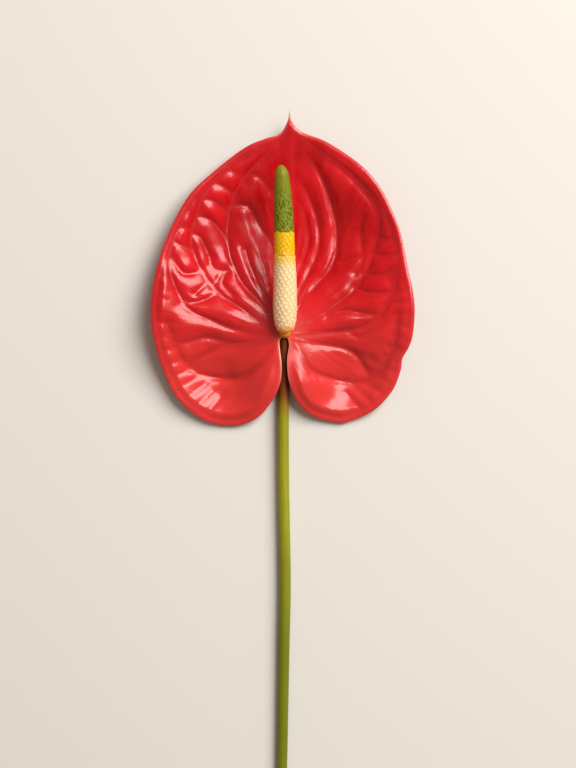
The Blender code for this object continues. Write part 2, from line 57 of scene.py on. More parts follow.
BASE_THICKENING_Y = 3.0
RIM_THICKNESS = 0.7
RIM_THINNING_WIDTH = 2.0
RIM_ROUNDING = 0.22
RIM_ROUNDING_REACH = 0.45
RESTS = [(-28.5, -19.2), (28.0, -20.3), (0.5, 47.0)]
REST_THICKENING = 0.5
REST_REACH = 6.0
LEFT_MARGIN = [(0.2, 0.2), (-1.5, -0.6), (-2.1, -2.9), (-1.7, -6.8), (-1.1, -13.5), (-1.8, -21.2),
               (-5.5, -29.4), (-12.9, -37.7), (-23.9, -41.0), (-36.8, -38.6), (-48.8, -29.0),
               (-55.2, -17.0), (-59.1, -4.6), (-61.2, 11.0), (-59.3, 27.1), (-54.3, 44.6),
               (-44.6, 63.9), (-33.4, 75.5), (-18.7, 87.1), (-8.9, 91.7), (-3.4, 93.3), (-0.9, 95.1),
               (0.9, 98.2), (2.1, 101.2), (2.5, 105.0)]
RIGHT_MARGIN = [(2.5, 105.0), (3.1, 101.2), (4.6, 98.2), (7.1, 95.7), (10.1, 93.9), (19.9, 89.9),
                (34.7, 79.7), (43.9, 69.3), (50.6, 56.0), (54.3, 44.6), (57.3, 29.5), (58.9, 22.5),
                (60.0, 12.4), (59.2, 1.0), (57.5, -4.6), (55.2, -8.6), (54.4, -11.0), (53.8, -15.6),
                (50.1, -24.8), (41.4, -34.0), (30.4, -38.9), (23.9, -39.5), (12.9, -36.3), (6.0, -29.9),
                (2.3, -20.7), (1.4, -12.0), (1.7, -7.8), (2.3, -3.7), (1.6, -0.5), (0.2, 0.2)]
FORM = [(0.0, 104.5, 11.5), (0.0, 92.0, 8.6), (0.0, 70.0, 3.2), (0.0, 48.0, 0.2), (0.0, 28.0, 2.5),
        (0.0, 12.0, 7.6), (0.0, 2.0, 9.3),
        (18.0, 89.0, 9.8), (28.0, 60.0, 4.8), (26.0, 42.0, 2.6), (28.0, 24.0, 5.3), (28.0, 7.0, 8.4),
        (28.0, -6.0, 4.4), (27.0, -17.0, 0.7), (26.0, -28.0, 1.2), (26.0, -39.0, 3.2),
        (40.0, 72.5, 12.4), (45.0, 42.0, 8.6), (48.0, 20.0, 10.6), (49.0, 4.0, 10.4), (46.0, -9.0, 6.4),
        (42.0, -22.0, 3.4), (52.0, 52.0, 13.6), (58.0, 26.0, 14.4), (59.0, 6.0, 13.6), (54.0, -12.0, 9.4),
        (45.0, -31.0, 6.4), (1.8, -4.0, 9.8), (1.6, -13.0, 11.0), (4.0, -26.0, 9.6), (12.0, -36.0, 5.8),
        (12.0, -20.0, 7.4), (12.0, -8.0, 8.1)]
VEINS = [
    ([(0, 1.5), (-9, 1.8), (-19, 2.6), (-27, 5), (-35, 8.5), (-41, 11), (-46.5, 16), (-51.5, 27), (-53, 35),
      (-52, 43), (-49.2, 51), (-41, 65), (-33, 75), (-22, 83), (-10, 89), (1, 95)], 0.95, 2.3),
    ([(-2, 3), (-12, 8), (-21, 14.3), (-30, 20), (-37.7, 30), (-42, 40), (-43, 47), (-39.3, 60), (-34, 70),
      (-25, 79), (-12, 87)], 1.0, 2.2),
    ([(-1, 4), (-6, 9), (-12.4, 17.5), (-19.3, 25.3), (-24.8, 37.3), (-26.5, 50), (-25, 60), (-21, 70),
      (-13, 80), (-3, 89)], 1.0, 2.0),
    ([(-1, 5), (-5, 11), (-12.9, 26), (-16.6, 35.4), (-18, 41)], 0.6, 1.8),
    ([(-2, 40), (-9.4, 49.7), (-12.7, 54.2), (-16.4, 60.6), (-20.5, 61.4), (-25.4, 60.5)], 0.85, 2.0),
    ([(-1, 60), (-4, 66), (-10, 73.2), (-15, 75.5), (-19.5, 73)], 0.8, 2.2),
    ([(-26.5, 45), (-29.5, 49.8), (-34, 54.2), (-40, 56.5)], 0.9, 2.0),
    ([(-25.5, 55), (-28, 59), (-33, 63), (-38.5, 64)], 0.9, 2.0),
    ([(-23.5, 65.5), (-28.5, 70), (-33.5, 71.5)], 0.85, 2.0),
    ([(-19.5, 72), (-22, 75.5), (-27.5, 78.5)], 0.8, 2.0),
    ([(-34.5, 37.3), (-33.6, 32.7), (-29, 30.4), (-25.8, 31)], 0.8, 1.7),
    ([(-41.5, 48), (-38.6, 46), (-35, 38.2), (-33.6, 32.7)], 0.8, 1.7),
    ([(-29, 30.4), (-31, 26.2), (-33, 24)], 0.8, 1.6),
    ([(-26.7, 30.4), (-28.5, 24.4), (-23.5, 18.9)], 0.7, 1.6),
    ([(-51.5, 36.3), (-47.4, 30.1), (-44.2, 29.2), (-38, 30.6)], 0.85, 1.9),
    ([(-46.9, 16.3), (-42.3, 15.9), (-38.2, 16.6), (-30.4, 20.2)], 0.85, 1.9),
    ([(-50, 51), (-42.8, 49.7)], 0.7, 1.7),
    ([(-52, 44.6), (-43.2, 40.5)], 0.7, 1.7),
    ([(-35, 25.8), (-41, 20)], 0.6, 1.6),
    ([(-3, -0.5), (-12, -2.2), (-25, -2.5), (-36, 0), (-44, -2.3), (-50, -3)], 0.9, 2.4),
    ([(-3, -1.5), (-18, -3.4), (-30.4, -4.6), (-39.6, -10.1), (-44.2, -12.4)], 0.6, 1.8),
    ([(-54, 6), (-50, -4), (-46.9, -10.6), (-42, -15.2), (-36.8, -17.5), (-28, -19), (-20, -18.3),
      (-13, -14), (-6, -7), (-3, -2)], 0.9, 2.0),
    ([(2, 1.5), (12, 2), (24, 2.5), (34, 4), (42, 8), (47, 14), (50.5, 22), (52, 32), (51.5, 42),
      (48.5, 52), (43.5, 61), (36, 70), (26, 79), (14, 87), (4, 95)], 0.95, 2.2),
    ([(3, 3), (14, 8.5), (24, 15), (33, 22.5), (38.6, 31.7), (42, 42), (43.7, 55), (38, 66), (28, 77),
      (15, 86)], 0.9, 2.1),
    ([(2, 5), (7.4, 15.6), (16.6, 26.2), (20.7, 30.8), (23.8, 37.7), (24.6, 45), (24, 53), (22, 61),
      (19, 70), (14.5, 79), (7, 88)], 1.0, 2.4),
    ([(2, 8), (6, 18), (10.5, 28), (14.5, 37), (16.4, 45), (15.5, 54), (12.5, 63), (9, 70)], 0.8, 2.0),
    ([(3, 14), (5, 24), (8, 34), (10.8, 42), (11.4, 48), (10, 56), (7.5, 62)], 0.5, 1.6),
    ([(33, 22.5), (40, 20), (49, 20.5)], 0.8, 1.8),
    ([(37, 29), (43, 28.4), (51, 29.5)], 0.8, 1.8),
    ([(41, 38), (46, 37.4), (52, 38.5)], 0.8, 1.8),
    ([(43, 46), (47, 44.6), (51, 45)], 0.7, 1.8),
    ([(20, 9.5), (28, 12), (36, 11), (45, 9.4)], 0.85, 2.0),
    ([(27.6, 34.5), (31.3, 36.3), (36.8, 37)], 0.5, 1.6),
    ([(36.8, 55.2), (35, 50.6), (36, 42), (35.9, 34), (33.1, 29.4)], 0.5, 1.8),
    ([(3, -0.5), (14.3, -2.8), (28, -5), (34, -8.7), (39.5, -17)], 0.95, 2.4),
    ([(30, 3.4), (34, 0), (42.3, 4.6), (49, 9.4)], 0.6, 1.6),
    ([(5, -3), (12, -14.5), (20, -18.4), (27, -20.3), (35, -21), (42, -18), (48, -11), (51.5, -2),
      (52, 10)], 0.9, 2.0),
]
LEFT_RIBS = [(-38.0, -16.0, 6.2, 14.0, 0.38), (-14.0, 12.0, 7.0, 9.0, 0.5), (18.0, 60.0, 11.0, 7.5, 0.22)]
RIGHT_RIBS = [(-38.0, -16.0, 6.4, 14.0, 0.5), (-14.0, 34.0, 5.8, 8.5, 0.65), (36.0, 62.0, 8.0, 7.5, 0.4)]
RIB_HALF_WIDTH = 2.3
RIB_INNERMOST = 22.0
RIB_FOCUS = (0.0, 6.0)
PUFF = 2.4
PUFF_BASE = (4.0, 30.0)
PUFF_TIP = (66.0, 94.0)
PUFF_TIP_LEFT = 0.25
PUFF_MIDDLE = (3.0, 20.0)
PUFF_MIDDLE_LEFT = 0.25
PUFF_MIDDLE_X = 0.6
PUFF_MIDDLE_FROM = (-5.0, 10.0)
PUFF_RIM = (1.4, 6.0)
VEIN_FLOOR = 0.45
RIM_ROLL_DEPTH = 0.75
RIM_ROLL_WIDTH = 1.7
RIM_ROLL_BASE = (10.0, 30.0)
MIDRIB_HEIGHT = 0.35
MIDRIB_HALF_WIDTH = 2.4
MIDRIB_FROM = (8.0, 20.0)
MIDRIB = [(0.6, 1.0), (0.6, 30.0), (1.2, 70.0), (2.2, 96.0), (2.5, 105.0)]
VEIN_LINE_HEIGHT = 0.1
VEIN_LINE_HALF_WIDTH = 0.4
VEIN_SHADE_HALF_WIDTH = 1.1
CREASE_HEIGHT = 0.2
CREASE_WIDTH = 2.4
CREASE_LENGTH = 15.0
CREASE_RADIUS = 40.0
CREASES_FROM_BASE = (6.0, 26.0)
CREASE_LAYER = 0.5
QUILT_HEIGHT = 0.2
QUILT_WIDTH = 5.5
QUILT_LAYER = 7.5
FINE_RELIEF_FROM_RIM = (0.5, 4.0)
RIM_RINGS = (0.22, 0.5, 0.9, 1.4, 1.9)
BLADE_PITCH = 0.62
LINE_PITCH = 0.55
VEIN_PITCH = 3.0
NET_LEFT = -62.0
NET_RIGHT = 61.0
NET_FOOT = -42.0
NET_ROOM = 0.8
RIM_RING_ROOM = 0.9
RIM_HIGHLIGHT_WIDTH = 1.2
THIN_EDGE_WIDTH = 0.35
THIN_EDGE_BASE = (14.0, 26.0)
THIN_EDGE_TIP = (88.0, 97.0)
BLUSH_MIDDLE = (0.5, 2.3)
BLUSH_WIDTH = 2.2

spathe_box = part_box("spathe")
flower_zero = np.array([spathe_box[1][0] / MM - SPATHE_RIGHT, spathe_box[1][1] / MM - SPATHE_TOP, 0.0])


def smooth_path(points, pitch):
    """Points every pitch or so along a smooth curve through the given points, ends included."""
    given = np.array(points, dtype=float)
    before = 2 * given[0] - given[1]
    after = 2 * given[-1] - given[-2]
    padded = np.vstack([before, given, after])
    dense = [given[0]]
    for a, b, c, d in zip(padded, padded[1:], padded[2:], padded[3:]):
        for t in np.linspace(0.0, 1.0, CURVE_STEPS + 1)[1:]:
            dense.append(0.5 * (2 * b + (c - a) * t + (2 * a - 5 * b + 4 * c - d) * t * t
                                + (3 * b - a - 3 * c + d) * t ** 3))
    dense = np.array(dense)
    along = np.concatenate([[0.0], np.cumsum(np.linalg.norm(np.diff(dense, axis=0), axis=1))])
    stops = np.linspace(0.0, along[-1], max(2, round(along[-1] / pitch) + 1))
    return np.column_stack([np.interp(stops, along, dense[:, k]) for k in range(dense.shape[1])])


def fade(low, high, value):
    """0 below low, 1 above high, and a smooth rise between them."""
    t = np.clip((value - low) / (high - low), 0.0, 1.0)
    return t * t * (3 - 2 * t)


def distance_to_line(xy, line):
    """Distance from each point to a polyline."""
    nearest = np.full(len(xy), 1e9)
    for start, end in zip(line, line[1:]):
        run = end - start
        t = np.clip(((xy - start) @ run) / (run @ run), 0.0, 1.0)
        gap = np.linalg.norm(xy - start - t[:, None] * run, axis=1)
        nearest = np.minimum(nearest, gap)
    return nearest


def inside(xy, ring):
    """Which points lie inside a closed outline."""
    crossing = np.zeros(len(xy), dtype=bool)
    for a, b in zip(ring, np.roll(ring, -1, axis=0)):
        straddles = (a[1] > xy[:, 1]) != (b[1] > xy[:, 1])
        reach = a[0] + (xy[:, 1] - a[1]) * (b[0] - a[0]) / np.where(b[1] == a[1], 1e-12, b[1] - a[1])
        crossing ^= straddles & (xy[:, 0] < reach)
    return crossing


class ThinPlate:
    """A smooth surface through a few heights, bent as a thin springy sheet bends."""

    def __init__(self, heights):
        mirrored = [(-x, y, z) for x, y, z in heights if x > 0]
        posts = np.array(heights + mirrored)
        self.at = posts[:, :2]
        n = len(posts)
        system = np.zeros((n + 3, n + 3))
        system[:n, :n] = self.bend(self.at)
        system[:n, n] = 1.0
        system[:n, n + 1:] = self.at
        system[n:, :n] = system[:n, n:].T
        self.weights = np.linalg.solve(system, np.concatenate([posts[:, 2], np.zeros(3)]))

    def bend(self, xy):
        """How far each given height bends the sheet at each point."""
        r2 = ((xy[:, None, :] - self.at[None, :, :]) ** 2).sum(axis=2)
        return 0.5 * r2 * np.log(np.maximum(r2, 1e-12))

    def height(self, xy):
        """Height of the sheet at each point."""
        n = len(self.at)
        return self.bend(xy) @ self.weights[:n] + self.weights[n] + xy @ self.weights[n + 1:]


left_edge = smooth_path(LEFT_MARGIN, LINE_PITCH)
right_edge = smooth_path(RIGHT_MARGIN, LINE_PITCH)
margin = np.vstack([left_edge[:-1], right_edge[:-1]])
closed_margin = np.vstack([margin, margin[:1]])


def rib_lines(edge, stretches):
    """Ribs that point at the spathe's base, one every pitch along the given stretches of its margin."""
    along = np.concatenate([[0.0], np.cumsum(np.linalg.norm(np.diff(edge, axis=0), axis=1))])
    lines = []
    for first_y, last_y, pitch, reach, depth in stretches:
        flank = [k for k in range(len(edge)) if first_y <= edge[k][1] <= last_y
                 and abs(edge[k][0]) > RIB_INNERMOST]
        for s in np.arange(along[min(flank)], along[max(flank)], pitch):
            outer = np.array([np.interp(s, along, edge[:, 0]), np.interp(s, along, edge[:, 1])])
            inward = np.array(RIB_FOCUS) - outer
            inward /= np.linalg.norm(inward)
            lines.append((np.array([outer, outer + inward * reach]), depth))
    return lines


form = ThinPlate(FORM)
veins = [(smooth_path(points, VEIN_PITCH), depth, width) for points, depth, width in VEINS]
for line, depth in rib_lines(left_edge, LEFT_RIBS) + rib_lines(right_edge, RIGHT_RIBS):
    veins.append((line, depth, RIB_HALF_WIDTH))


def from_base(xy):
    """The way round the base in radians, 0 at the tip and parted at the sinus, and the distance from it."""
    x, y = xy[:, 0] - MIDRIB[0][0], xy[:, 1] - MIDRIB[0][1]
    return np.arctan2(x, y), np.hypot(x, y)


def creases(xy):
    """Fine folds that run outwards from the base, over a faint quilting of the cells, in millimetres."""
    turn, reach = from_base(xy)
    across = turn * CREASE_RADIUS / CREASE_WIDTH
    along = np.log(np.maximum(reach, 1.0) / CREASE_RADIUS) * CREASE_RADIUS / CREASE_LENGTH
    folds = np.array([noise.noise((a, b, CREASE_LAYER)) for a, b in zip(across, along)])
    quilt = np.array([noise.noise((x, y, QUILT_LAYER)) for x, y in xy / QUILT_WIDTH])
    return CREASE_HEIGHT * folds + QUILT_HEIGHT * quilt


def blade(xy):
    """Heights of the spathe's upper and lower face, and what its finish reads: veins, for painted shade and
    painted highlight, and rim.
    """
    base_distance = np.hypot(xy[:, 0], xy[:, 1])
    rim_distance = distance_to_line(xy, closed_margin)
    puff = PUFF * fade(*PUFF_BASE, base_distance)
    puff *= 1 - (1 - PUFF_TIP_LEFT) * fade(*PUFF_TIP, xy[:, 1])
    upper_half = fade(*PUFF_MIDDLE_FROM, xy[:, 1])
    across = fade(*PUFF_MIDDLE, np.abs(xy[:, 0] - PUFF_MIDDLE_X))
    across = PUFF_MIDDLE_LEFT + (1 - PUFF_MIDDLE_LEFT) * across
    puff *= 1 - upper_half * (1 - across)
    puff *= fade(*PUFF_RIM, rim_distance)
    vein_line = np.zeros(len(xy))
    vein_shade = np.zeros(len(xy))
    for line, depth, width in veins:
        distance = distance_to_line(xy, line)
        beside = np.hypot(distance, VEIN_FLOOR) - VEIN_FLOOR
        puff *= 1 - depth * np.exp(-beside / width)
        vein_line = np.maximum(vein_line, depth * np.exp(-(distance / VEIN_LINE_HALF_WIDTH) ** 2))
        vein_shade = np.maximum(vein_shade, depth * np.exp(-(distance / VEIN_SHADE_HALF_WIDTH) ** 2))
    rib = MIDRIB_HEIGHT * np.exp(-(distance_to_line(xy, np.array(MIDRIB)) / MIDRIB_HALF_WIDTH) ** 2)
    rib *= fade(*MIDRIB_FROM, xy[:, 1])
    roll = RIM_ROLL_DEPTH * (1 - fade(0.0, RIM_ROLL_WIDTH, rim_distance))
    roll *= fade(*RIM_ROLL_BASE, base_distance)
    fine = VEIN_LINE_HEIGHT * vein_line + creases(xy) * fade(*CREASES_FROM_BASE, base_distance)
    fine *= fade(*FINE_RELIEF_FROM_RIM, rim_distance)
    top = np.maximum(form.height(xy) + puff + rib + fine - roll, RIM_THICKNESS)
    foot_distance = np.hypot(xy[:, 0], xy[:, 1] - BASE_THICKENING_Y)
    thickness = BLADE_THICKNESS + BASE_THICKENING * np.exp(-(foot_distance / BASE_THICKENING_REACH) ** 2)
    for x, y in RESTS:
        rest_distance = np.hypot(xy[:, 0] - x, xy[:, 1] - y)
        thickness += REST_THICKENING * np.exp(-(rest_distance / REST_REACH) ** 2)
    thickness -= (BLADE_THICKNESS - RIM_THICKNESS) * (1 - fade(0.0, RIM_THINNING_WIDTH, rim_distance))
    bottom = np.maximum(top - thickness, 0.0)
    rounding = RIM_ROUNDING * (1 - fade(0.0, RIM_ROUNDING_REACH, rim_distance))
    return top - rounding, bottom + rounding, vein_shade, vein_line, rim_distance


def blade_net():
    """The spathe's plan split into triangles, with points along its margin and its veins."""
    row = BLADE_PITCH * math.sqrt(3) / 2
    field = []
    for j, y in enumerate(np.arange(NET_FOOT, SPATHE_TOP, row)):
        xs = np.arange(NET_LEFT, NET_RIGHT, BLADE_PITCH) + 0.5 * BLADE_PITCH * (j % 2)
        field.append(np.column_stack([xs, np.full(len(xs), y)]))
    field = np.vstack(field)
    field = field[inside(field, margin)]
    clear = distance_to_line(field, closed_margin) > RIM_RINGS[-1] + BLADE_PITCH * 0.5
    along = np.roll(margin, -1, axis=0) - np.roll(margin, 1, axis=0)
    inward = np.column_stack([along[:, 1], -along[:, 0]]) / np.linalg.norm(along, axis=1)[:, None]
    taken = margin
    for depth in RIM_RINGS:
        ring = margin + inward * depth
        ring = ring[inside(ring, margin)]
        ring = ring[distance_to_line(ring, closed_margin) > depth * RIM_RING_ROOM]
        gaps = np.linalg.norm(ring[:, None, :] - taken[None, :, :], axis=2).min(axis=1)
        taken = np.vstack([taken, ring[gaps > RIM_RINGS[0] * NET_ROOM]])
    for line, _, _ in veins:
        run = smooth_path(line, LINE_PITCH)
        run = run[inside(run, margin)]
        gaps = np.linalg.norm(run[:, None, :] - taken[None, :, :], axis=2).min(axis=1)
        taken = np.vstack([taken, run[gaps > LINE_PITCH * NET_ROOM]])
        clear &= distance_to_line(field, line) > BLADE_PITCH * 0.5
    points = np.vstack([taken, field[clear]])
    outline = [list(range(len(margin)))[::-1]]
    plan = delaunay_2d_cdt([Vector(p) for p in points], [], outline, 1, 1e-6)
    xy = np.array([tuple(v) for v in plan[0]])
    faces = np.array([tuple(f) for f in plan[2]])
    a, b, c = xy[faces[:, 0]], xy[faces[:, 1]], xy[faces[:, 2]]
    turn = (b[:, 0] - a[:, 0]) * (c[:, 1] - a[:, 1]) - (b[:, 1] - a[:, 1]) * (c[:, 0] - a[:, 0])
    faces[turn < 0] = faces[turn < 0][:, ::-1]
    return xy, faces


def open_edges(faces):
    """Edges that only one face uses, in that face's direction."""
    edges = {(int(f[k]), int(f[(k + 1) % 3])) for f in faces for k in range(3)}
    return sorted((a, b) for a, b in edges if (b, a) not in edges)


def new_piece(name, points, faces):
    """One closed mesh set where the flower lies, smooth shaded, with its faces pointing out."""
    mesh = bpy.data.meshes.new(name)
    placed = (np.asarray(points) + flower_zero) * MM
    mesh.from_pydata(placed.tolist(), [], [tuple(int(k) for k in f) for f in faces])
    shape = bmesh.new()
    shape.from_mesh(mesh)
    bmesh.ops.recalc_face_normals(shape, faces=shape.faces[:])
    shape.to_mesh(mesh)
    shape.free()
    mesh.shade_smooth()
    piece = bpy.data.objects.new(name, mesh)
    bpy.context.scene.collection.objects.link(piece)
    return piece


def paint(piece, name, values):
    """A number at each point of a piece, for its finish to read."""
    layer = piece.data.attributes.new(name, "FLOAT", "POINT")
    layer.data.foreach_set("value", np.asarray(values, dtype=np.float32))


xy, net = blade_net()
top, bottom, vein_shade, vein_line, rim_distance = blade(xy)
count = len(xy)
rim = [wall for a, b in open_edges(net) for wall in ((b, a, a + count), (b, a + count, b + count))]
spathe = new_piece("spathe_blade", np.vstack([np.column_stack([xy, top]), np.column_stack([xy, bottom])]),
                   np.vstack([net, net[:, ::-1] + count, rim]))
turn, reach = from_base(xy)
# The vein bands carry painted shade and a painted highlight, and the band along the rim a painted highlight.
paint(spathe, "painted_vein_shade", np.tile(vein_shade, 2))
paint(spathe, "vein_line", np.tile(vein_line, 2))
paint(spathe, "rim", np.tile(np.exp(-rim_distance / RIM_HIGHLIGHT_WIDTH), 2))
side_edge = fade(*THIN_EDGE_BASE, np.hypot(xy[:, 0], xy[:, 1])) * (1 - fade(*THIN_EDGE_TIP, xy[:, 1]))
paint(spathe, "thin_edge", np.tile(np.exp(-rim_distance / THIN_EDGE_WIDTH) * (1 - side_edge), 2))
blush_distance = np.hypot(xy[:, 0] - BLUSH_MIDDLE[0], xy[:, 1] - BLUSH_MIDDLE[1])
paint(spathe, "base", np.tile(np.exp(-blush_distance / BLUSH_WIDTH), 2))
paint(spathe, "back", np.repeat([0.0, 1.0], count))
paint(spathe, "round", np.tile(turn * CREASE_RADIUS, 2))
paint(spathe, "out", np.tile(np.log(np.maximum(reach, 1.0) / CREASE_RADIUS) * CREASE_RADIUS, 2))


def linear(code):
    """An sRGB hex colour as Blender's linear values."""
    parts = [int(code[k:k + 2], 16) / 255 for k in (1, 3, 5)]
    return tuple(c / 12.92 if c <= 0.04045 else ((c + 0.055) / 1.055) ** 2.4 for c in parts) + (1.0,)


def add(tree, kind, inputs=None, **settings):
    """One node of a tree with its settings, and its inputs as values or as the sockets that feed them."""
    node = tree.nodes.new(kind)
    for name, value in settings.items():
        setattr(node, name, value)
    for name, value in (inputs or {}).items():
        if isinstance(value, bpy.types.NodeSocket):
            tree.links.new(value, node.inputs[name])
        else:
            node.inputs[name].default_value = value
    return node


def new_finish(name, values):
    """A material with the values that are the same all over it, its node tree and its shader."""
    material = bpy.data.materials.new(name)
    material.use_nodes = True
    shader = material.node_tree.nodes["Principled BSDF"]
    for socket, value in values.items():
        shader.inputs[socket].default_value = value
    return material, material.node_tree, shader


def tinted(tree, along, colour, bands):
    """The colour with tints that each grow from one place along the flower to another, in millimetres."""
    for start, stop, tint, most in bands:
        part = add(tree, "ShaderNodeMapRange", {"Value": along, "From Min": (flower_zero[1] + start) * MM,
                                                "From Max": (flower_zero[1] + stop) * MM, "To Max": most},
                   interpolation_type="SMOOTHSTEP").outputs[0]
        colour = add(tree, "ShaderNodeMix", {0: part, 6: colour, 7: linear(tint)},
                     data_type="RGBA").outputs[2]
    return colour


# Waxy leaf skin: a thick clear wax over red cells. It mirrors the light softly, and its fine creases break
# the edges of each highlight.
skin, tree, shader = new_finish("waxy_red_leaf_skin", {
    "Roughness": 0.27, "IOR": 1.45, "Specular IOR Level": 0.4, "Coat Weight": 0.25,
    "Coat Roughness": 0.08, "Subsurface Weight": 0.03, "Subsurface Radius": (1.0, 0.15, 0.12),
    "Subsurface Scale": 0.0012})
place = add(tree, "ShaderNodeTexCoord").outputs["Object"]
read = {name: add(tree, "ShaderNodeAttribute", attribute_name=name).outputs["Fac"]
        for name in ("painted_vein_shade", "vein_line", "rim", "thin_edge", "base", "back", "round", "out")}
patches = add(tree, "ShaderNodeTexNoise", {"Vector": place, "Scale": 1 / (22 * MM),
                                           "Detail": 2.0}).outputs["Fac"]
patch_part = add(tree, "ShaderNodeMapRange", {"Value": patches, "From Min": 0.38,
                                              "From Max": 0.62}).outputs[0]
red = add(tree, "ShaderNodeMix", {0: patch_part, 6: linear("#B8000C"), 7: linear("#D0101C")},
          data_type="RGBA").outputs[2]
grain = add(tree, "ShaderNodeCombineXYZ", {"X": read["round"], "Y": read["out"]}).outputs[0]
stretch = add(tree, "ShaderNodeMapping", {"Vector": grain, "Scale": (1 / 1.1, 1 / 9.0, 1.0)}).outputs[0]
fibres = add(tree, "ShaderNodeTexNoise", {"Vector": stretch, "Scale": 1.0, "Detail": 3.0,
                                          "Roughness": 0.6}).outputs["Fac"]
fibre_part = add(tree, "ShaderNodeMapRange", {"Value": fibres, "From Min": 0.45, "From Max": 0.75,
                                              "To Max": 0.2}).outputs[0]
red = add(tree, "ShaderNodeMix", {0: fibre_part, 6: red, 7: linear("#E23030")}, data_type="RGBA").outputs[2]
along = add(tree, "ShaderNodeSeparateXYZ", {0: place}).outputs["Y"]
# The lobes are painted lighter towards their lower end, a painted sheen for the soft highlight they catch.
red = tinted(tree, along, red, [(30.0, -25.0, "#DA3834", 0.8)])
# Painted shade darkens the vein grooves, and a painted highlight lightens each vein line and a band along
# the rim. The pale thin edge at the lips and tip and the orange blush at the base are the leaf's own colour.
for name, most, tint in (("painted_vein_shade", 0.45, "#A00010"), ("vein_line", 0.12, "#EC5A58"),
                         ("rim", 0.45, "#DE4444"), ("thin_edge", 1.0, "#F8B29A"),
                         ("base", 1.0, "#EC701E")):
    part = add(tree, "ShaderNodeMath", {0: read[name], 1: most}, operation="MULTIPLY").outputs[0]
    red = add(tree, "ShaderNodeMix", {0: part, 6: red, 7: linear(tint)}, data_type="RGBA").outputs[2]
tip_part = add(tree, "ShaderNodeMapRange",
               {"Value": along, "From Min": (flower_zero[1] + 99.5) * MM,
                "From Max": (flower_zero[1] + 104.5) * MM, "To Max": 0.8}).outputs[0]
red = add(tree, "ShaderNodeMix", {0: tip_part, 6: red, 7: linear("#C8A45A")}, data_type="RGBA").outputs[2]
underside = add(tree, "ShaderNodeMix", {0: fibre_part, 6: linear("#B5343A"), 7: linear("#C9565A")},
                data_type="RGBA").outputs[2]
red = add(tree, "ShaderNodeMix", {0: read["back"], 6: red, 7: underside}, data_type="RGBA").outputs[2]
tree.links.new(red, shader.inputs["Base Color"])
pores = add(tree, "ShaderNodeTexNoise", {"Vector": place, "Scale": 1 / (0.5 * MM),
                                         "Detail": 2.0}).outputs["Fac"]
fine_bump = add(tree, "ShaderNodeBump", {"Height": pores, "Strength": 0.18,
                                         "Distance": 0.00012}).outputs[0]
outer_part = add(tree, "ShaderNodeMapRange", {"Value": read["out"], "From Min": -60.0, "From Max": -10.0,
                                              "To Max": 0.35}).outputs[0]
crease_bump = add(tree, "ShaderNodeBump", {"Height": fibres, "Strength": outer_part, "Distance": 0.0002,
                                           "Normal": fine_bump}).outputs[0]
tree.links.new(crease_bump, shader.inputs["Normal"])
tree.links.new(crease_bump, shader.inputs["Coat Normal"])
spathe.data.materials.append(skin)

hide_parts("spathe")
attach(spathe, "root")

# The cream florets of the spadix
# They are ripe, each with a pearly stigma, and sit in a spiral round the lower half of a fleshy finger. It
# rises from the spathe's base on a very short orange stipe.
SPADIX_START = (0.5, 1.85, 14.0)
SPADIX_RISE = 0.143
SPADIX_LEAN = [(0.0, 0.0), (20.0, 0.0), (38.0, -0.25), (53.0, -0.6), (64.0, -1.05), (73.5, -1.55),
               (76.4, -1.75)]
SPADIX_PROFILE = [(0.0, 1.4), (0.4, 2.4), (1.4, 3.5), (3.3, 4.35), (6.1, 5.0), (11.3, 5.47),
                  (18.5, 5.3), (25.3, 5.15), (32.2, 4.9), (37.0, 4.72), (46.4, 4.5), (52.2, 4.32),
                  (57.5, 4.13), (62.9, 3.9), (68.2, 3.55), (72.2, 3.17), (74.0, 2.65), (75.4, 1.85),
                  (76.1, 1.05), (76.4, 0.4)]
CREAM_END = 35.4
STIPE_RADIUS = 2.0
STIPE_FOOT = (0.5, 2.3)
SPADIX_SIDES = 48
SPADIX_RING = 0.7
FLORETS = 600
FLORET_TURN = math.radians(137.508)
FLORET_CROWDING = 0.2
FLORET_WIDTH = 2.3
FLORET_SHRINKING = 0.36
FLORET_SIDES = 12
FLORET_LIMITS = (0.3, 72.0)
FLORET_SCATTER = 0.03
FLORET_REACH = 20.0
FLORET_VARIATION = 0.12
FLORET_RAGGED = 2.2
FLORET_SEED = 7
SMOOTH_FROM = 55.0
CORE_END_STOPS = (0.12, 0.3, 0.5, 1.0)
PEARL_SHOULDER = (0.6, 0.82)
CUSHION_TOP = 0.035
CUSHION_RINGS = ((0.28, CUSHION_TOP, 0.55, 0.05, 0.02), (0.44, 0.025, 0.4, 0.05, 0.02),
                 (0.54, -0.01, 0.0, 0.05, 0.0))
TEPALS = 4
STIPE_SIDES = 32
STIPE_RINGS = ((0.0, 1.35), (0.5, 1.12), (1.2, 1.0), (2.4, 1.0), (3.6, 1.0))


def spadix_point(s):
    """Middle of the spadix at a distance s along it, and its radius there."""
    x, y, z = SPADIX_START
    rise = math.hypot(1.0, SPADIX_RISE)
    lean = np.interp(s, [p[0] for p in SPADIX_LEAN], [p[1] for p in SPADIX_LEAN])
    radius = np.interp(s, [p[0] for p in SPADIX_PROFILE], [p[1] for p in SPADIX_PROFILE])
    return np.array([x + lean, y + s / rise, z + s * SPADIX_RISE / rise]), radius


def ringed(rings):
    """Points and faces of a tube of rings with as many points each, closed by a point at each end."""
    sides = len(rings[0])
    faces = []
    for j in range(len(rings) - 1):
        for i in range(sides):
            k = (i + 1) % sides
            faces.append((j * sides + i, j * sides + k, (j + 1) * sides + k, (j + 1) * sides + i))
    last = (len(rings) - 1) * sides
    ends = len(rings) * sides
    for i in range(sides):
        k = (i + 1) % sides
        faces.append((k, i, ends))
        faces.append((last + i, last + k, ends + 1))
    return np.vstack([*rings, rings[0].mean(axis=0), rings[-1].mean(axis=0)]), faces


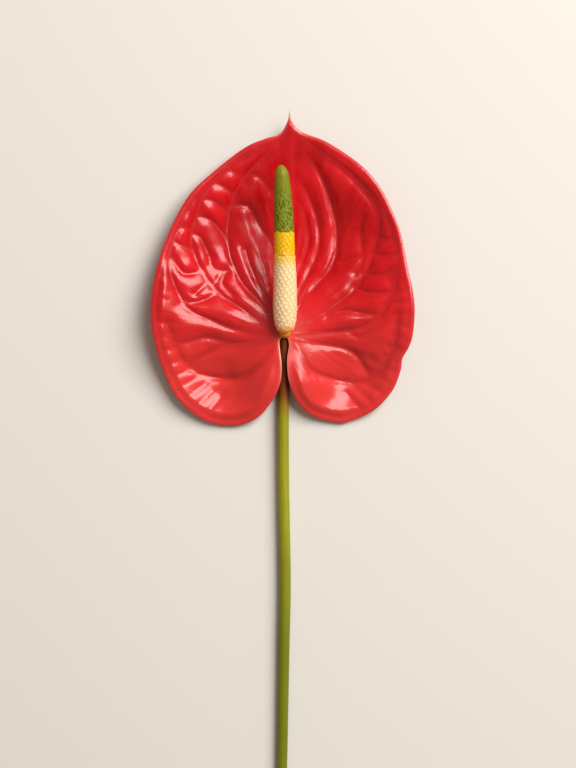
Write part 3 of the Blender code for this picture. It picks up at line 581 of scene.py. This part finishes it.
def core(first, last):
    """The flesh under the florets of one colour zone."""
    upward = np.array([0.0, -SPADIX_RISE, 1.0]) / math.hypot(1.0, SPADIX_RISE)
    turns = np.arange(SPADIX_SIDES) * 2 * math.pi / SPADIX_SIDES
    circle = np.cos(turns)[:, None] * np.array([1.0, 0.0, 0.0]) + np.sin(turns)[:, None] * upward
    stops = np.linspace(first, last, max(3, round((last - first) / SPADIX_RING)) + 1)
    if first == 0.0:
        stops = np.sort(np.append(stops, CORE_END_STOPS))
    if last == SPADIX_PROFILE[-1][0]:
        stops = np.sort(np.append(stops, last - np.array(CORE_END_STOPS)))
    return ringed([spadix_point(s)[0] + spadix_point(s)[1] * circle for s in stops])


def floret(name, pearl_height, pearl_width, dimple):
    """A floret 1 wide: a low round cushion of four tepals, with a pearl or a dimple at its middle.

    Each ring of it has a radius, a height, a tone, and how far the tepals lobe it and notch it."""
    shoulder_width, shoulder_height = PEARL_SHOULDER
    rings = [(shoulder_width * pearl_width, shoulder_height * pearl_height, 0.9, 0.0, 0.0),
             (pearl_width, CUSHION_TOP - dimple, 0.35, 0.0, 0.0), *CUSHION_RINGS]
    points, tones = [(0.0, 0.0, pearl_height)], [1.0]
    for radius, height, tone, lobing, notch in rings:
        for i in range(FLORET_SIDES):
            a = 2 * math.pi * i / FLORET_SIDES
            lobed = radius * (1 + lobing * math.cos(TEPALS * a))
            dip = notch * (1 - abs(math.cos(TEPALS / 2 * a)))
            points.append((lobed * math.cos(a), lobed * math.sin(a), height - dip))
            tones.append(tone)
    faces = [(0, 1 + i, 1 + (i + 1) % FLORET_SIDES) for i in range(FLORET_SIDES)]
    for j in range(len(rings) - 1):
        for i in range(FLORET_SIDES):
            here = 1 + j * FLORET_SIDES + i
            beside = 1 + j * FLORET_SIDES + (i + 1) % FLORET_SIDES
            faces.append((here, here + FLORET_SIDES, beside + FLORET_SIDES, beside))
    faces.append(tuple(range(len(points) - 1, len(points) - 1 - FLORET_SIDES, -1)))
    mesh = bpy.data.meshes.new(name)
    mesh.from_pydata(points, [], faces)
    mesh.shade_smooth()
    shape = bpy.data.objects.new(name, mesh)
    bpy.context.scene.collection.objects.link(shape)
    paint(shape, "crown", tones)
    return shape


def floret_tree():
    """Geometry Nodes: seats in a spiral up the spadix, and on each seat of the zone a floret facing out."""
    tree = bpy.data.node_groups.new("florets_in_a_spiral", "GeometryNodeTree")
    for name, kind in (("Geometry", "Geometry"), ("Floret", "Object"), ("Foot", "Vector"), ("Tip", "Vector"),
                       ("Up", "Vector"), ("Florets", "Int"), ("Turn", "Float"), ("Crowding", "Float"),
                       ("Width", "Float"), ("Shrinking", "Float"), ("Variation", "Float"),
                       ("Scatter", "Float"), ("Reach", "Float"), ("First", "Float"), ("Last", "Float"),
                       ("Ragged", "Float"), ("Smooth From", "Float"), ("Smooth To", "Float"),
                       ("Seed", "Int"), ("Finish", "Material")):
        tree.interface.new_socket(name, in_out="INPUT", socket_type="NodeSocket" + kind)
    tree.interface.new_socket("Geometry", in_out="OUTPUT", socket_type="NodeSocketGeometry")
    given = add(tree, "NodeGroupInput").outputs

    index = add(tree, "GeometryNodeInputIndex").outputs[0]
    share = add(tree, "ShaderNodeMath", {0: index, 1: given["Florets"]}, operation="DIVIDE").outputs[0]
    rest = add(tree, "ShaderNodeMath", {0: 1.0, 1: share}, operation="SUBTRACT").outputs[0]
    bulge = add(tree, "ShaderNodeMath", {0: share, 1: rest}, operation="MULTIPLY").outputs[0]
    along = add(tree, "ShaderNodeMath", {0: bulge, 1: given["Crowding"], 2: share},
                operation="MULTIPLY_ADD").outputs[0]
    middle = add(tree, "ShaderNodeMix", {0: along, 4: given["Foot"], 5: given["Tip"]},
                 data_type="VECTOR").outputs[1]
    axis = add(tree, "ShaderNodeVectorMath", {0: given["Tip"], 1: given["Foot"]},
               operation="SUBTRACT").outputs[0]
    length = add(tree, "ShaderNodeVectorMath", {0: axis}, operation="LENGTH").outputs["Value"]
    height = add(tree, "ShaderNodeMath", {0: along, 1: length}, operation="MULTIPLY").outputs[0]
    chance = add(tree, "FunctionNodeRandomValue", {2: -0.5, 3: 0.5, "ID": index, "Seed": given["Seed"]},
                 data_type="FLOAT").outputs[1]
    astray = add(tree, "ShaderNodeMath", {0: chance, 1: given["Scatter"]}, operation="MULTIPLY").outputs[0]
    angle = add(tree, "ShaderNodeMath", {0: index, 1: given["Turn"], 2: astray},
                operation="MULTIPLY_ADD").outputs[0]
    outward = add(tree, "ShaderNodeVectorRotate", {"Vector": given["Up"], "Axis": axis,
                                                   "Angle": angle}).outputs[0]
    hit = add(tree, "GeometryNodeRaycast",
              {"Target Geometry": given["Geometry"], "Source Position": middle, "Ray Direction": outward,
               "Ray Length": given["Reach"]}).outputs

    ragged = add(tree, "ShaderNodeMath", {0: chance, 1: given["Ragged"], 2: height},
                 operation="MULTIPLY_ADD").outputs[0]
    below = add(tree, "ShaderNodeMath", {0: ragged, 1: given["First"]}, operation="LESS_THAN").outputs[0]
    above = add(tree, "ShaderNodeMath", {0: ragged, 1: given["Last"]}, operation="GREATER_THAN").outputs[0]
    outside = add(tree, "ShaderNodeMath", {0: below, 1: above}, operation="MAXIMUM").outputs[0]
    upright = add(tree, "FunctionNodeAlignRotationToVector", {"Vector": hit["Hit Normal"]},
                  axis="Z").outputs[0]
    facing = add(tree, "FunctionNodeAlignRotationToVector", {"Rotation": upright, "Vector": axis},
                 axis="Y", pivot_axis="Z").outputs[0]
    spread = add(tree, "ShaderNodeMath", {0: chance, 1: given["Variation"], 2: 1.0},
                 operation="MULTIPLY_ADD").outputs[0]
    lost = add(tree, "ShaderNodeMath", {0: given["Shrinking"], 1: share}, operation="MULTIPLY").outputs[0]
    left = add(tree, "ShaderNodeMath", {0: 1.0, 1: lost}, operation="SUBTRACT").outputs[0]
    varied = add(tree, "ShaderNodeMath", {0: left, 1: spread}, operation="MULTIPLY").outputs[0]
    width = add(tree, "ShaderNodeMath", {0: varied, 1: given["Width"]}, operation="MULTIPLY").outputs[0]
    melt = add(tree, "ShaderNodeMapRange",
               {"Value": height, "From Min": given["Smooth From"], "From Max": given["Smooth To"],
                "To Min": 1.0, "To Max": 0.15}, interpolation_type="SMOOTHSTEP").outputs[0]
    relief = add(tree, "ShaderNodeMath", {0: width, 1: melt}, operation="MULTIPLY").outputs[0]
    size = add(tree, "ShaderNodeCombineXYZ", {"X": width, "Y": width, "Z": relief}).outputs[0]

    seats = add(tree, "GeometryNodePoints", {"Count": given["Florets"],
                                             "Position": hit["Hit Position"]}).outputs[0]
    for name, kind, value in (("seat", "FLOAT", index), ("facing", "QUATERNION", facing),
                              ("size", "FLOAT_VECTOR", size)):
        seats = add(tree, "GeometryNodeStoreNamedAttribute",
                    {"Geometry": seats, "Name": name, "Value": value},
                    data_type=kind, domain="POINT").outputs[0]
    kept = add(tree, "GeometryNodeDeleteGeometry", {"Geometry": seats, "Selection": outside},
               domain="POINT").outputs[0]
    seat, facing, size = [add(tree, "GeometryNodeInputNamedAttribute", {"Name": name},
                              data_type=kind).outputs["Attribute"]
                          for name, kind in (("seat", "FLOAT"), ("facing", "QUATERNION"),
                                             ("size", "FLOAT_VECTOR"))]
    shape = add(tree, "GeometryNodeObjectInfo", {"Object": given["Floret"]}).outputs["Geometry"]
    placed = add(tree, "GeometryNodeInstanceOnPoints",
                 {"Points": kept, "Instance": shape, "Rotation": facing, "Scale": size}).outputs[0]
    tone = add(tree, "FunctionNodeRandomValue", {"ID": seat, "Seed": given["Seed"]},
               data_type="FLOAT").outputs[1]
    toned = add(tree, "GeometryNodeStoreNamedAttribute",
                {"Geometry": placed, "Name": "tone", "Value": tone},
                data_type="FLOAT", domain="INSTANCE").outputs[0]
    joined = add(tree, "GeometryNodeJoinGeometry", {0: given["Geometry"]})
    tree.links.new(toned, joined.inputs[0])
    real = add(tree, "GeometryNodeRealizeInstances", {"Geometry": joined.outputs[0]}).outputs[0]
    finished = add(tree, "GeometryNodeSetMaterial", {"Geometry": real,
                                                     "Material": given["Finish"]}).outputs[0]
    add(tree, "NodeGroupOutput", {0: finished})
    return tree


def skin_of_florets(name, colours, blotch, speck, depth, foot, head):
    """Fleshy florets: satin, with painted shade between the cushions, some florets darker still, some specks
    light.
    """
    groove_shade_and_dark_tone, cushion, pearl = [linear(code) for code in colours]
    material, tree, shader = new_finish(name, {
        "Roughness": 0.45, "Specular IOR Level": 0.3, "Subsurface Weight": 0.1,
        "Subsurface Radius": (1.0, 0.5, 0.2), "Subsurface Scale": depth})
    place = add(tree, "ShaderNodeTexCoord").outputs["Object"]
    crown = add(tree, "ShaderNodeAttribute", attribute_name="crown").outputs["Fac"]
    tone = add(tree, "ShaderNodeAttribute", attribute_name="tone").outputs["Fac"]
    low = add(tree, "ShaderNodeMapRange", {"Value": crown, "From Max": 0.5}).outputs[0]
    high = add(tree, "ShaderNodeMapRange", {"Value": crown, "From Min": 0.55,
                                            "From Max": 0.9}).outputs[0]
    # The cushions' edges take the darker colour: painted shade between the florets.
    colour = add(tree, "ShaderNodeMix", {0: low, 6: groove_shade_and_dark_tone, 7: cushion}, data_type="RGBA").outputs[2]
    colour = add(tree, "ShaderNodeMix", {0: high, 6: colour, 7: pearl}, data_type="RGBA").outputs[2]
    shade = add(tree, "ShaderNodeMapRange", {"Value": tone, "From Min": 0.55, "From Max": 1.0,
                                             "To Max": blotch}).outputs[0]
    colour = add(tree, "ShaderNodeMix", {0: shade, 6: colour, 7: groove_shade_and_dark_tone}, data_type="RGBA").outputs[2]
    fleck = add(tree, "ShaderNodeTexNoise", {"Vector": place, "Scale": 1 / (0.6 * MM),
                                             "Detail": 3.0}).outputs["Fac"]
    light = add(tree, "ShaderNodeMapRange", {"Value": fleck, "From Min": 0.5, "From Max": 0.62,
                                             "To Max": speck}).outputs[0]
    colour = add(tree, "ShaderNodeMix", {0: light, 6: colour, 7: pearl}, data_type="RGBA").outputs[2]
    along = add(tree, "ShaderNodeSeparateXYZ", {0: place}).outputs["Y"]
    tree.links.new(tinted(tree, along, colour, (foot, head)), shader.inputs["Base Color"])
    bump = add(tree, "ShaderNodeBump", {"Height": fleck, "Strength": 0.25, "Distance": 0.00008}).outputs[0]
    tree.links.new(bump, shader.inputs["Normal"])
    return material


def dressed(name, points, faces, shape, first, last, finish, number=FLORETS, width=FLORET_WIDTH,
            scatter=FLORET_SCATTER):
    """One colour zone of the spadix as a plain mesh: its core with its florets on it."""
    piece = new_piece(name, points, faces)
    values = {"Floret": shape, "Foot": tuple((spadix_point(0.0)[0] + flower_zero) * MM),
              "Tip": tuple((spadix_point(SPADIX_PROFILE[-1][0])[0] + flower_zero) * MM),
              "Up": (0.0, 0.0, 1.0), "Florets": number, "Turn": FLORET_TURN, "Crowding": FLORET_CROWDING,
              "Width": width * MM, "Shrinking": FLORET_SHRINKING, "Variation": FLORET_VARIATION,
              "Scatter": scatter, "Reach": FLORET_REACH * MM, "First": first * MM, "Last": last * MM,
              "Ragged": FLORET_RAGGED * MM, "Smooth From": SMOOTH_FROM * MM,
              "Smooth To": FLORET_LIMITS[1] * MM, "Seed": FLORET_SEED, "Finish": finish}
    growth = piece.modifiers.new("florets", "NODES")
    growth.node_group = spiral
    for item in spiral.interface.items_tree:
        if item.in_out == "INPUT" and item.name in values:
            growth[item.identifier] = values[item.name]
    seen = piece.evaluated_get(bpy.context.evaluated_depsgraph_get())
    plain = bpy.data.meshes.new_from_object(seen)
    piece.modifiers.clear()
    piece.data = plain
    return piece


spiral = floret_tree()
ripe = floret("ripe_floret", 0.14, 0.11, 0.0)

# Ripe floret flesh: matt cream cushions with lighter pearls, orange at the foot and yellow at the head.
cream_skin = skin_of_florets("cream_floret_flesh", ("#F8D298", "#FCDEAC", "#FFEEC6"), 0.08, 0.0, 0.001,
                             (6.0, 1.8, "#FFA030", 0.9), (30.0, 35.6, "#F2C634", 0.85))

turns = np.arange(STIPE_SIDES) * 2 * math.pi / STIPE_SIDES
circle = np.column_stack([np.cos(turns), np.sin(turns), np.zeros(STIPE_SIDES)])
stipe_rings = []
for lift, radius in STIPE_RINGS:
    ring = circle * STIPE_RADIUS * radius + np.array([STIPE_FOOT[0], STIPE_FOOT[1], 0.0])
    ring[:, 2] = blade(ring[:, :2])[0] + lift
    stipe_rings.append(ring)
stipe_points, stipe_faces = ringed(stipe_rings)
core_points, core_faces = core(0.0, CREAM_END)
shift = len(core_points)
cream = dressed("spadix_cream_florets", np.vstack([core_points, stipe_points]),
                core_faces + [tuple(k + shift for k in f) for f in stipe_faces],
                ripe, FLORET_LIMITS[0], CREAM_END, cream_skin)
bpy.data.objects.remove(ripe)

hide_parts("spadix_cream")
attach(cream, "root")

# The yellow florets of the spadix
# They are a short band above the cream ones, just opening, so their cushions are smoother.
YELLOW_END = 46.2
opening = floret("opening_floret", 0.045, 0.13, 0.0)

# Opening floret flesh: a satin warm yellow that starts creamy and ends a little greener.
yellow_skin = skin_of_florets("yellow_floret_flesh", ("#EEB000", "#F8C40C", "#FCD230"), 0.1, 0.0, 0.001,
                              (39.0, 35.2, "#F6D278", 0.5), (44.0, 46.6, "#D8C010", 0.35))
yellow = dressed("spadix_yellow_florets", *core(CREAM_END, YELLOW_END), opening, CREAM_END, YELLOW_END,
                 yellow_skin)
bpy.data.objects.remove(opening)

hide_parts("spadix_yellow")
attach(yellow, "root")

# The green florets of the spadix
# They are the youngest, small and still shut, each with a dimple. They cover the upper end and melt into
# its smooth round tip.
SHUT_FLORETS = 1500
SHUT_WIDTH = 1.5
SHUT_SCATTER = 0.3
shut = floret("shut_floret", 0.07, 0.16, 0.03)

# Shut floret flesh: an olive green, speckled dark and light where the florets are, plain at the tip.
green_skin = skin_of_florets("green_floret_flesh", ("#425200", "#7A8800", "#B0BA34"), 0.8, 0.5, 0.0005,
                             (50.0, 46.0, "#BEB610", 0.4), (58.0, 72.0, "#828400", 0.85))
green = dressed("spadix_green_florets", *core(YELLOW_END, SPADIX_PROFILE[-1][0]), shut, YELLOW_END,
                FLORET_LIMITS[1], green_skin, SHUT_FLORETS, SHUT_WIDTH, SHUT_SCATTER)
bpy.data.objects.remove(shut)

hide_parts("spadix_green")
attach(green, "root")

# The flower stalk
# It is one smooth green stem, 4.6 to 5.5 mm thick, grown into the back of the spathe's base. It comes down
# to the table, lies along it, and is cut a little aslant at its foot.
STALK_LENGTH = 322.0
STALK_RADIUS_NECK = 2.3
STALK_RADIUS_HEAD = 2.65
STALK_RADIUS_MIDDLE = 2.75
STALK_RADIUS_FOOT = 2.5
STALK_ROUTE = [(0.4, 4.9, 6.3), (0.5, 0.0, 5.2), (0.4, -6.0, 4.7), (0.15, -14.0, 4.3),
               (-0.35, -29.0, 3.6), (-0.3, -66.0, 2.95), (0.4, -112.0, 2.75), (-0.1, -144.0, 2.7),
               (-1.0, -198.0, 2.6), (-2.2, -260.0, 2.5), (-3.4, 0.0, 2.5)]
STALK_CUT_SLANT = 1.4
STALK_SIDES = 48
STALK_RING = 2.0
STALK_RIBS = 9
STALK_RIB = 0.0105
STALK_RIB_TURN = 0.6
STALK_LIFT = 0.02
STALK_FLAT_FROM = -120.0
STALK_JOIN_ROUNDS = 12
STALK_JOIN_STEP = 0.7
STALK_JOIN_DEPTH = 0.02
CUT_EDGE_SHARE = 0.06
CUT_EDGE_WIDTH = 0.965
CUT_RINGS = ((0.86, 0.05), (0.6, 0.0), (0.3, 0.12))


def stalk_radius(y):
    """The stalk is a little thinner at its neck and towards its foot."""
    marks = [(5.0, STALK_RADIUS_NECK), (-14.0, STALK_RADIUS_HEAD), (-120.0, STALK_RADIUS_MIDDLE),
             (-198.0, STALK_RADIUS_FOOT), (-STALK_LENGTH, STALK_RADIUS_FOOT)]
    return float(np.interp(-y, [-m[0] for m in marks], [m[1] for m in marks]))


def stalk_rings():
    """Rings along the stalk's smooth middle line, the first against the spathe's back."""
    route = [list(p) for p in STALK_ROUTE]
    route[-1][1] = -STALK_LENGTH
    centres = smooth_path(route, STALK_RING)
    for p in centres:
        floor = stalk_radius(p[1]) + STALK_LIFT
        p[2] = max(p[2], floor) if p[1] > STALK_FLAT_FROM else floor
    along = np.gradient(centres, axis=0)
    along /= np.linalg.norm(along, axis=1)[:, None]
    turns = np.arange(STALK_SIDES) * 2 * math.pi / STALK_SIDES - math.pi / 2
    ribbing = 1 - STALK_RIB * (0.5 + 0.5 * np.cos(turns * STALK_RIBS + STALK_RIB_TURN))
    rings = []
    for centre, direction in zip(centres, along):
        side = np.cross(direction, [0.0, 0.0, 1.0])
        side /= np.linalg.norm(side)
        upward = np.cross(side, direction)
        radius = stalk_radius(centre[1]) * ribbing
        rings.append(centre + (radius * np.cos(turns))[:, None] * side
                     + (radius * np.sin(turns))[:, None] * upward)
    back = -along[0]
    for _ in range(STALK_JOIN_ROUNDS):
        under = blade(rings[0][:, :2])[1] - STALK_JOIN_DEPTH
        rings[0] += ((under - rings[0][:, 2]) / back[2] * STALK_JOIN_STEP)[:, None] * back
    rings[-1][:, 1] += STALK_CUT_SLANT * (rings[-1][:, 2] - STALK_RADIUS_FOOT) / STALK_RADIUS_FOOT
    rings[-2] = rings[-1] + (rings[-3] - rings[-1]) * CUT_EDGE_SHARE
    rings[-1] = rings[-1].mean(axis=0) + (rings[-1] - rings[-1].mean(axis=0)) * CUT_EDGE_WIDTH
    face = rings[-1]
    for share, hollow in CUT_RINGS:
        ring = face.mean(axis=0) + (face - face.mean(axis=0)) * share
        ring[:, 1] += hollow
        rings.append(ring)
    return rings


rings = stalk_rings()
stalk_points, stalk_faces = ringed(rings)
stalk = new_piece("flower_stalk", stalk_points, stalk_faces)
on_cut = np.zeros(len(stalk_points))
on_cut[(len(rings) - len(CUT_RINGS) - 1) * STALK_SIDES:len(rings) * STALK_SIDES] = 1.0
on_cut[-1] = 1.0
paint(stalk, "cut", on_cut)

# Stem skin: a smooth green rind over pale flesh. It has a faint bloom that blurs its highlight, streaks
# along its length and a few brown flecks, and painted shade in brown under the spathe.
rind, tree, shader = new_finish("smooth_stem_rind", {
    "Roughness": 0.42, "Specular IOR Level": 0.3, "Subsurface Weight": 0.05,
    "Subsurface Radius": (0.6, 1.0, 0.2), "Subsurface Scale": 0.0008})
place = add(tree, "ShaderNodeTexCoord").outputs["Object"]
patches = add(tree, "ShaderNodeTexNoise", {"Vector": place, "Scale": 1 / (30 * MM),
                                           "Detail": 2.0}).outputs["Fac"]
patch_part = add(tree, "ShaderNodeMapRange", {"Value": patches, "From Min": 0.35,
                                              "From Max": 0.65}).outputs[0]
green_mix = add(tree, "ShaderNodeMix", {0: patch_part, 6: linear("#86880A"), 7: linear("#94940E")},
                data_type="RGBA").outputs[2]
stretch = add(tree, "ShaderNodeMapping", {"Vector": place, "Scale": (1.0, 0.04, 1.0)}).outputs[0]
streaks = add(tree, "ShaderNodeTexNoise", {"Vector": stretch, "Scale": 1 / (0.9 * MM),
                                           "Detail": 4.0}).outputs["Fac"]
streak_part = add(tree, "ShaderNodeMapRange", {"Value": streaks, "From Min": 0.45, "From Max": 0.75,
                                               "To Max": 0.5}).outputs[0]
green_mix = add(tree, "ShaderNodeMix", {0: streak_part, 6: green_mix, 7: linear("#AAA62E")},
                data_type="RGBA").outputs[2]
along = add(tree, "ShaderNodeSeparateXYZ", {0: place}).outputs["Y"]
# Darker towards the foot. Under the spathe it is painted brown: painted shade with the red light the spathe
# throws on it.
green_mix = tinted(tree, along, green_mix, ((-70.0, -150.0, "#5E6A00", 0.75),
                                            (-42.0, -24.0, "#7E2E02", 0.95)))
fleck = add(tree, "ShaderNodeTexNoise", {"Vector": place, "Scale": 1 / (1.6 * MM),
                                         "Detail": 2.0}).outputs["Fac"]
fleck_part = add(tree, "ShaderNodeMapRange", {"Value": fleck, "From Min": 0.68, "From Max": 0.74,
                                              "To Max": 0.35}).outputs[0]
green_mix = add(tree, "ShaderNodeMix", {0: fleck_part, 6: green_mix, 7: linear("#6B5A1A")},
                data_type="RGBA").outputs[2]
bundles = add(tree, "ShaderNodeTexVoronoi", {"Vector": place, "Scale": 1 / (0.55 * MM)},
              feature="F1").outputs["Distance"]
bundle_part = add(tree, "ShaderNodeMapRange", {"Value": bundles, "From Min": 0.1,
                                               "From Max": 0.45}).outputs[0]
pith = add(tree, "ShaderNodeMix", {0: bundle_part, 6: linear("#8F9A4A"), 7: linear("#D7D9A0")},
           data_type="RGBA").outputs[2]
cut = add(tree, "ShaderNodeAttribute", attribute_name="cut").outputs["Fac"]
green_mix = add(tree, "ShaderNodeMix", {0: cut, 6: green_mix, 7: pith}, data_type="RGBA").outputs[2]
tree.links.new(green_mix, shader.inputs["Base Color"])
bump = add(tree, "ShaderNodeBump", {"Height": streaks, "Strength": 0.3, "Distance": 0.0001}).outputs[0]
tree.links.new(bump, shader.inputs["Normal"])
stalk.data.materials.append(rind)

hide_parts("peduncle")
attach(stalk, "root")

# The table
# It is a plain pale surface, matt plaster in a warm white, that the flower lies on.
TABLE_HALF = 1.5
table_mesh = bpy.data.meshes.new("table")
table_mesh.from_pydata([(-TABLE_HALF, -TABLE_HALF, 0.0), (TABLE_HALF, -TABLE_HALF, 0.0),
                        (TABLE_HALF, TABLE_HALF, 0.0), (-TABLE_HALF, TABLE_HALF, 0.0)], [], [(0, 1, 2, 3)])
plaster, _, _ = new_finish("matt_pale_plaster", {"Base Color": linear("#DEDDD8"), "Roughness": 0.9})
table_mesh.materials.append(plaster)
table = bpy.data.objects.new("table", table_mesh)
bpy.context.scene.collection.objects.link(table)

# The light
# One soft square light stands up and to the right of the flower, and a dim even room fills the shadows.
LIGHT_DISTANCE = 1.8
LIGHT_SIDE = (1.05, 1.4)
LIGHT_POWER = 45.0
LIGHT_AZIMUTH = math.radians(41.0)
LIGHT_ELEVATION = math.radians(48.0)
LIT_SPOT_Y = 30.0
ROOM_STRENGTH = 0.3
scene = bpy.context.scene
lit_spot = Vector((flower_zero[0] * MM, (flower_zero[1] + LIT_SPOT_Y) * MM, 0.0))
softbox = bpy.data.lights.new("softbox", "AREA")
softbox.shape = "RECTANGLE"
softbox.size, softbox.size_y = LIGHT_SIDE
softbox.energy = LIGHT_POWER
softbox.color = linear("#FFFCF8")[:3]
softbox_stand = bpy.data.objects.new("softbox", softbox)
scene.collection.objects.link(softbox_stand)
flat = math.cos(LIGHT_ELEVATION)
softbox_stand.location = lit_spot + LIGHT_DISTANCE * Vector((math.cos(LIGHT_AZIMUTH) * flat,
                                                             math.sin(LIGHT_AZIMUTH) * flat,
                                                             math.sin(LIGHT_ELEVATION)))
softbox_stand.rotation_euler = (lit_spot - softbox_stand.location).to_track_quat("-Z", "Y").to_euler()
room = bpy.data.worlds.new("room")
room.use_nodes = True
room.node_tree.nodes["Background"].inputs["Color"].default_value = linear("#FFE4D4")
room.node_tree.nodes["Background"].inputs["Strength"].default_value = ROOM_STRENGTH
scene.world = room

# The camera
# It looks straight down on the flower from above, as wide as the view that shows the whole spathe and the
# stalk's upper part.
VIEW_MIDDLE = (1.84, -21.6)
VIEW_HEIGHT = 353.0
VIEW_LEVEL = 12.0
LENS = 85.0
SENSOR = 36.0
camera = bpy.data.cameras.new("above")
camera.lens = LENS
camera.sensor_width = SENSOR
camera.clip_start = 0.02
camera_stand = bpy.data.objects.new("above", camera)
scene.collection.objects.link(camera_stand)
camera_stand.location = ((flower_zero[0] + VIEW_MIDDLE[0]) * MM, (flower_zero[1] + VIEW_MIDDLE[1]) * MM,
                         (VIEW_HEIGHT * LENS / SENSOR + VIEW_LEVEL) * MM)
scene.camera = camera_stand
scene.view_settings.view_transform = "Standard"
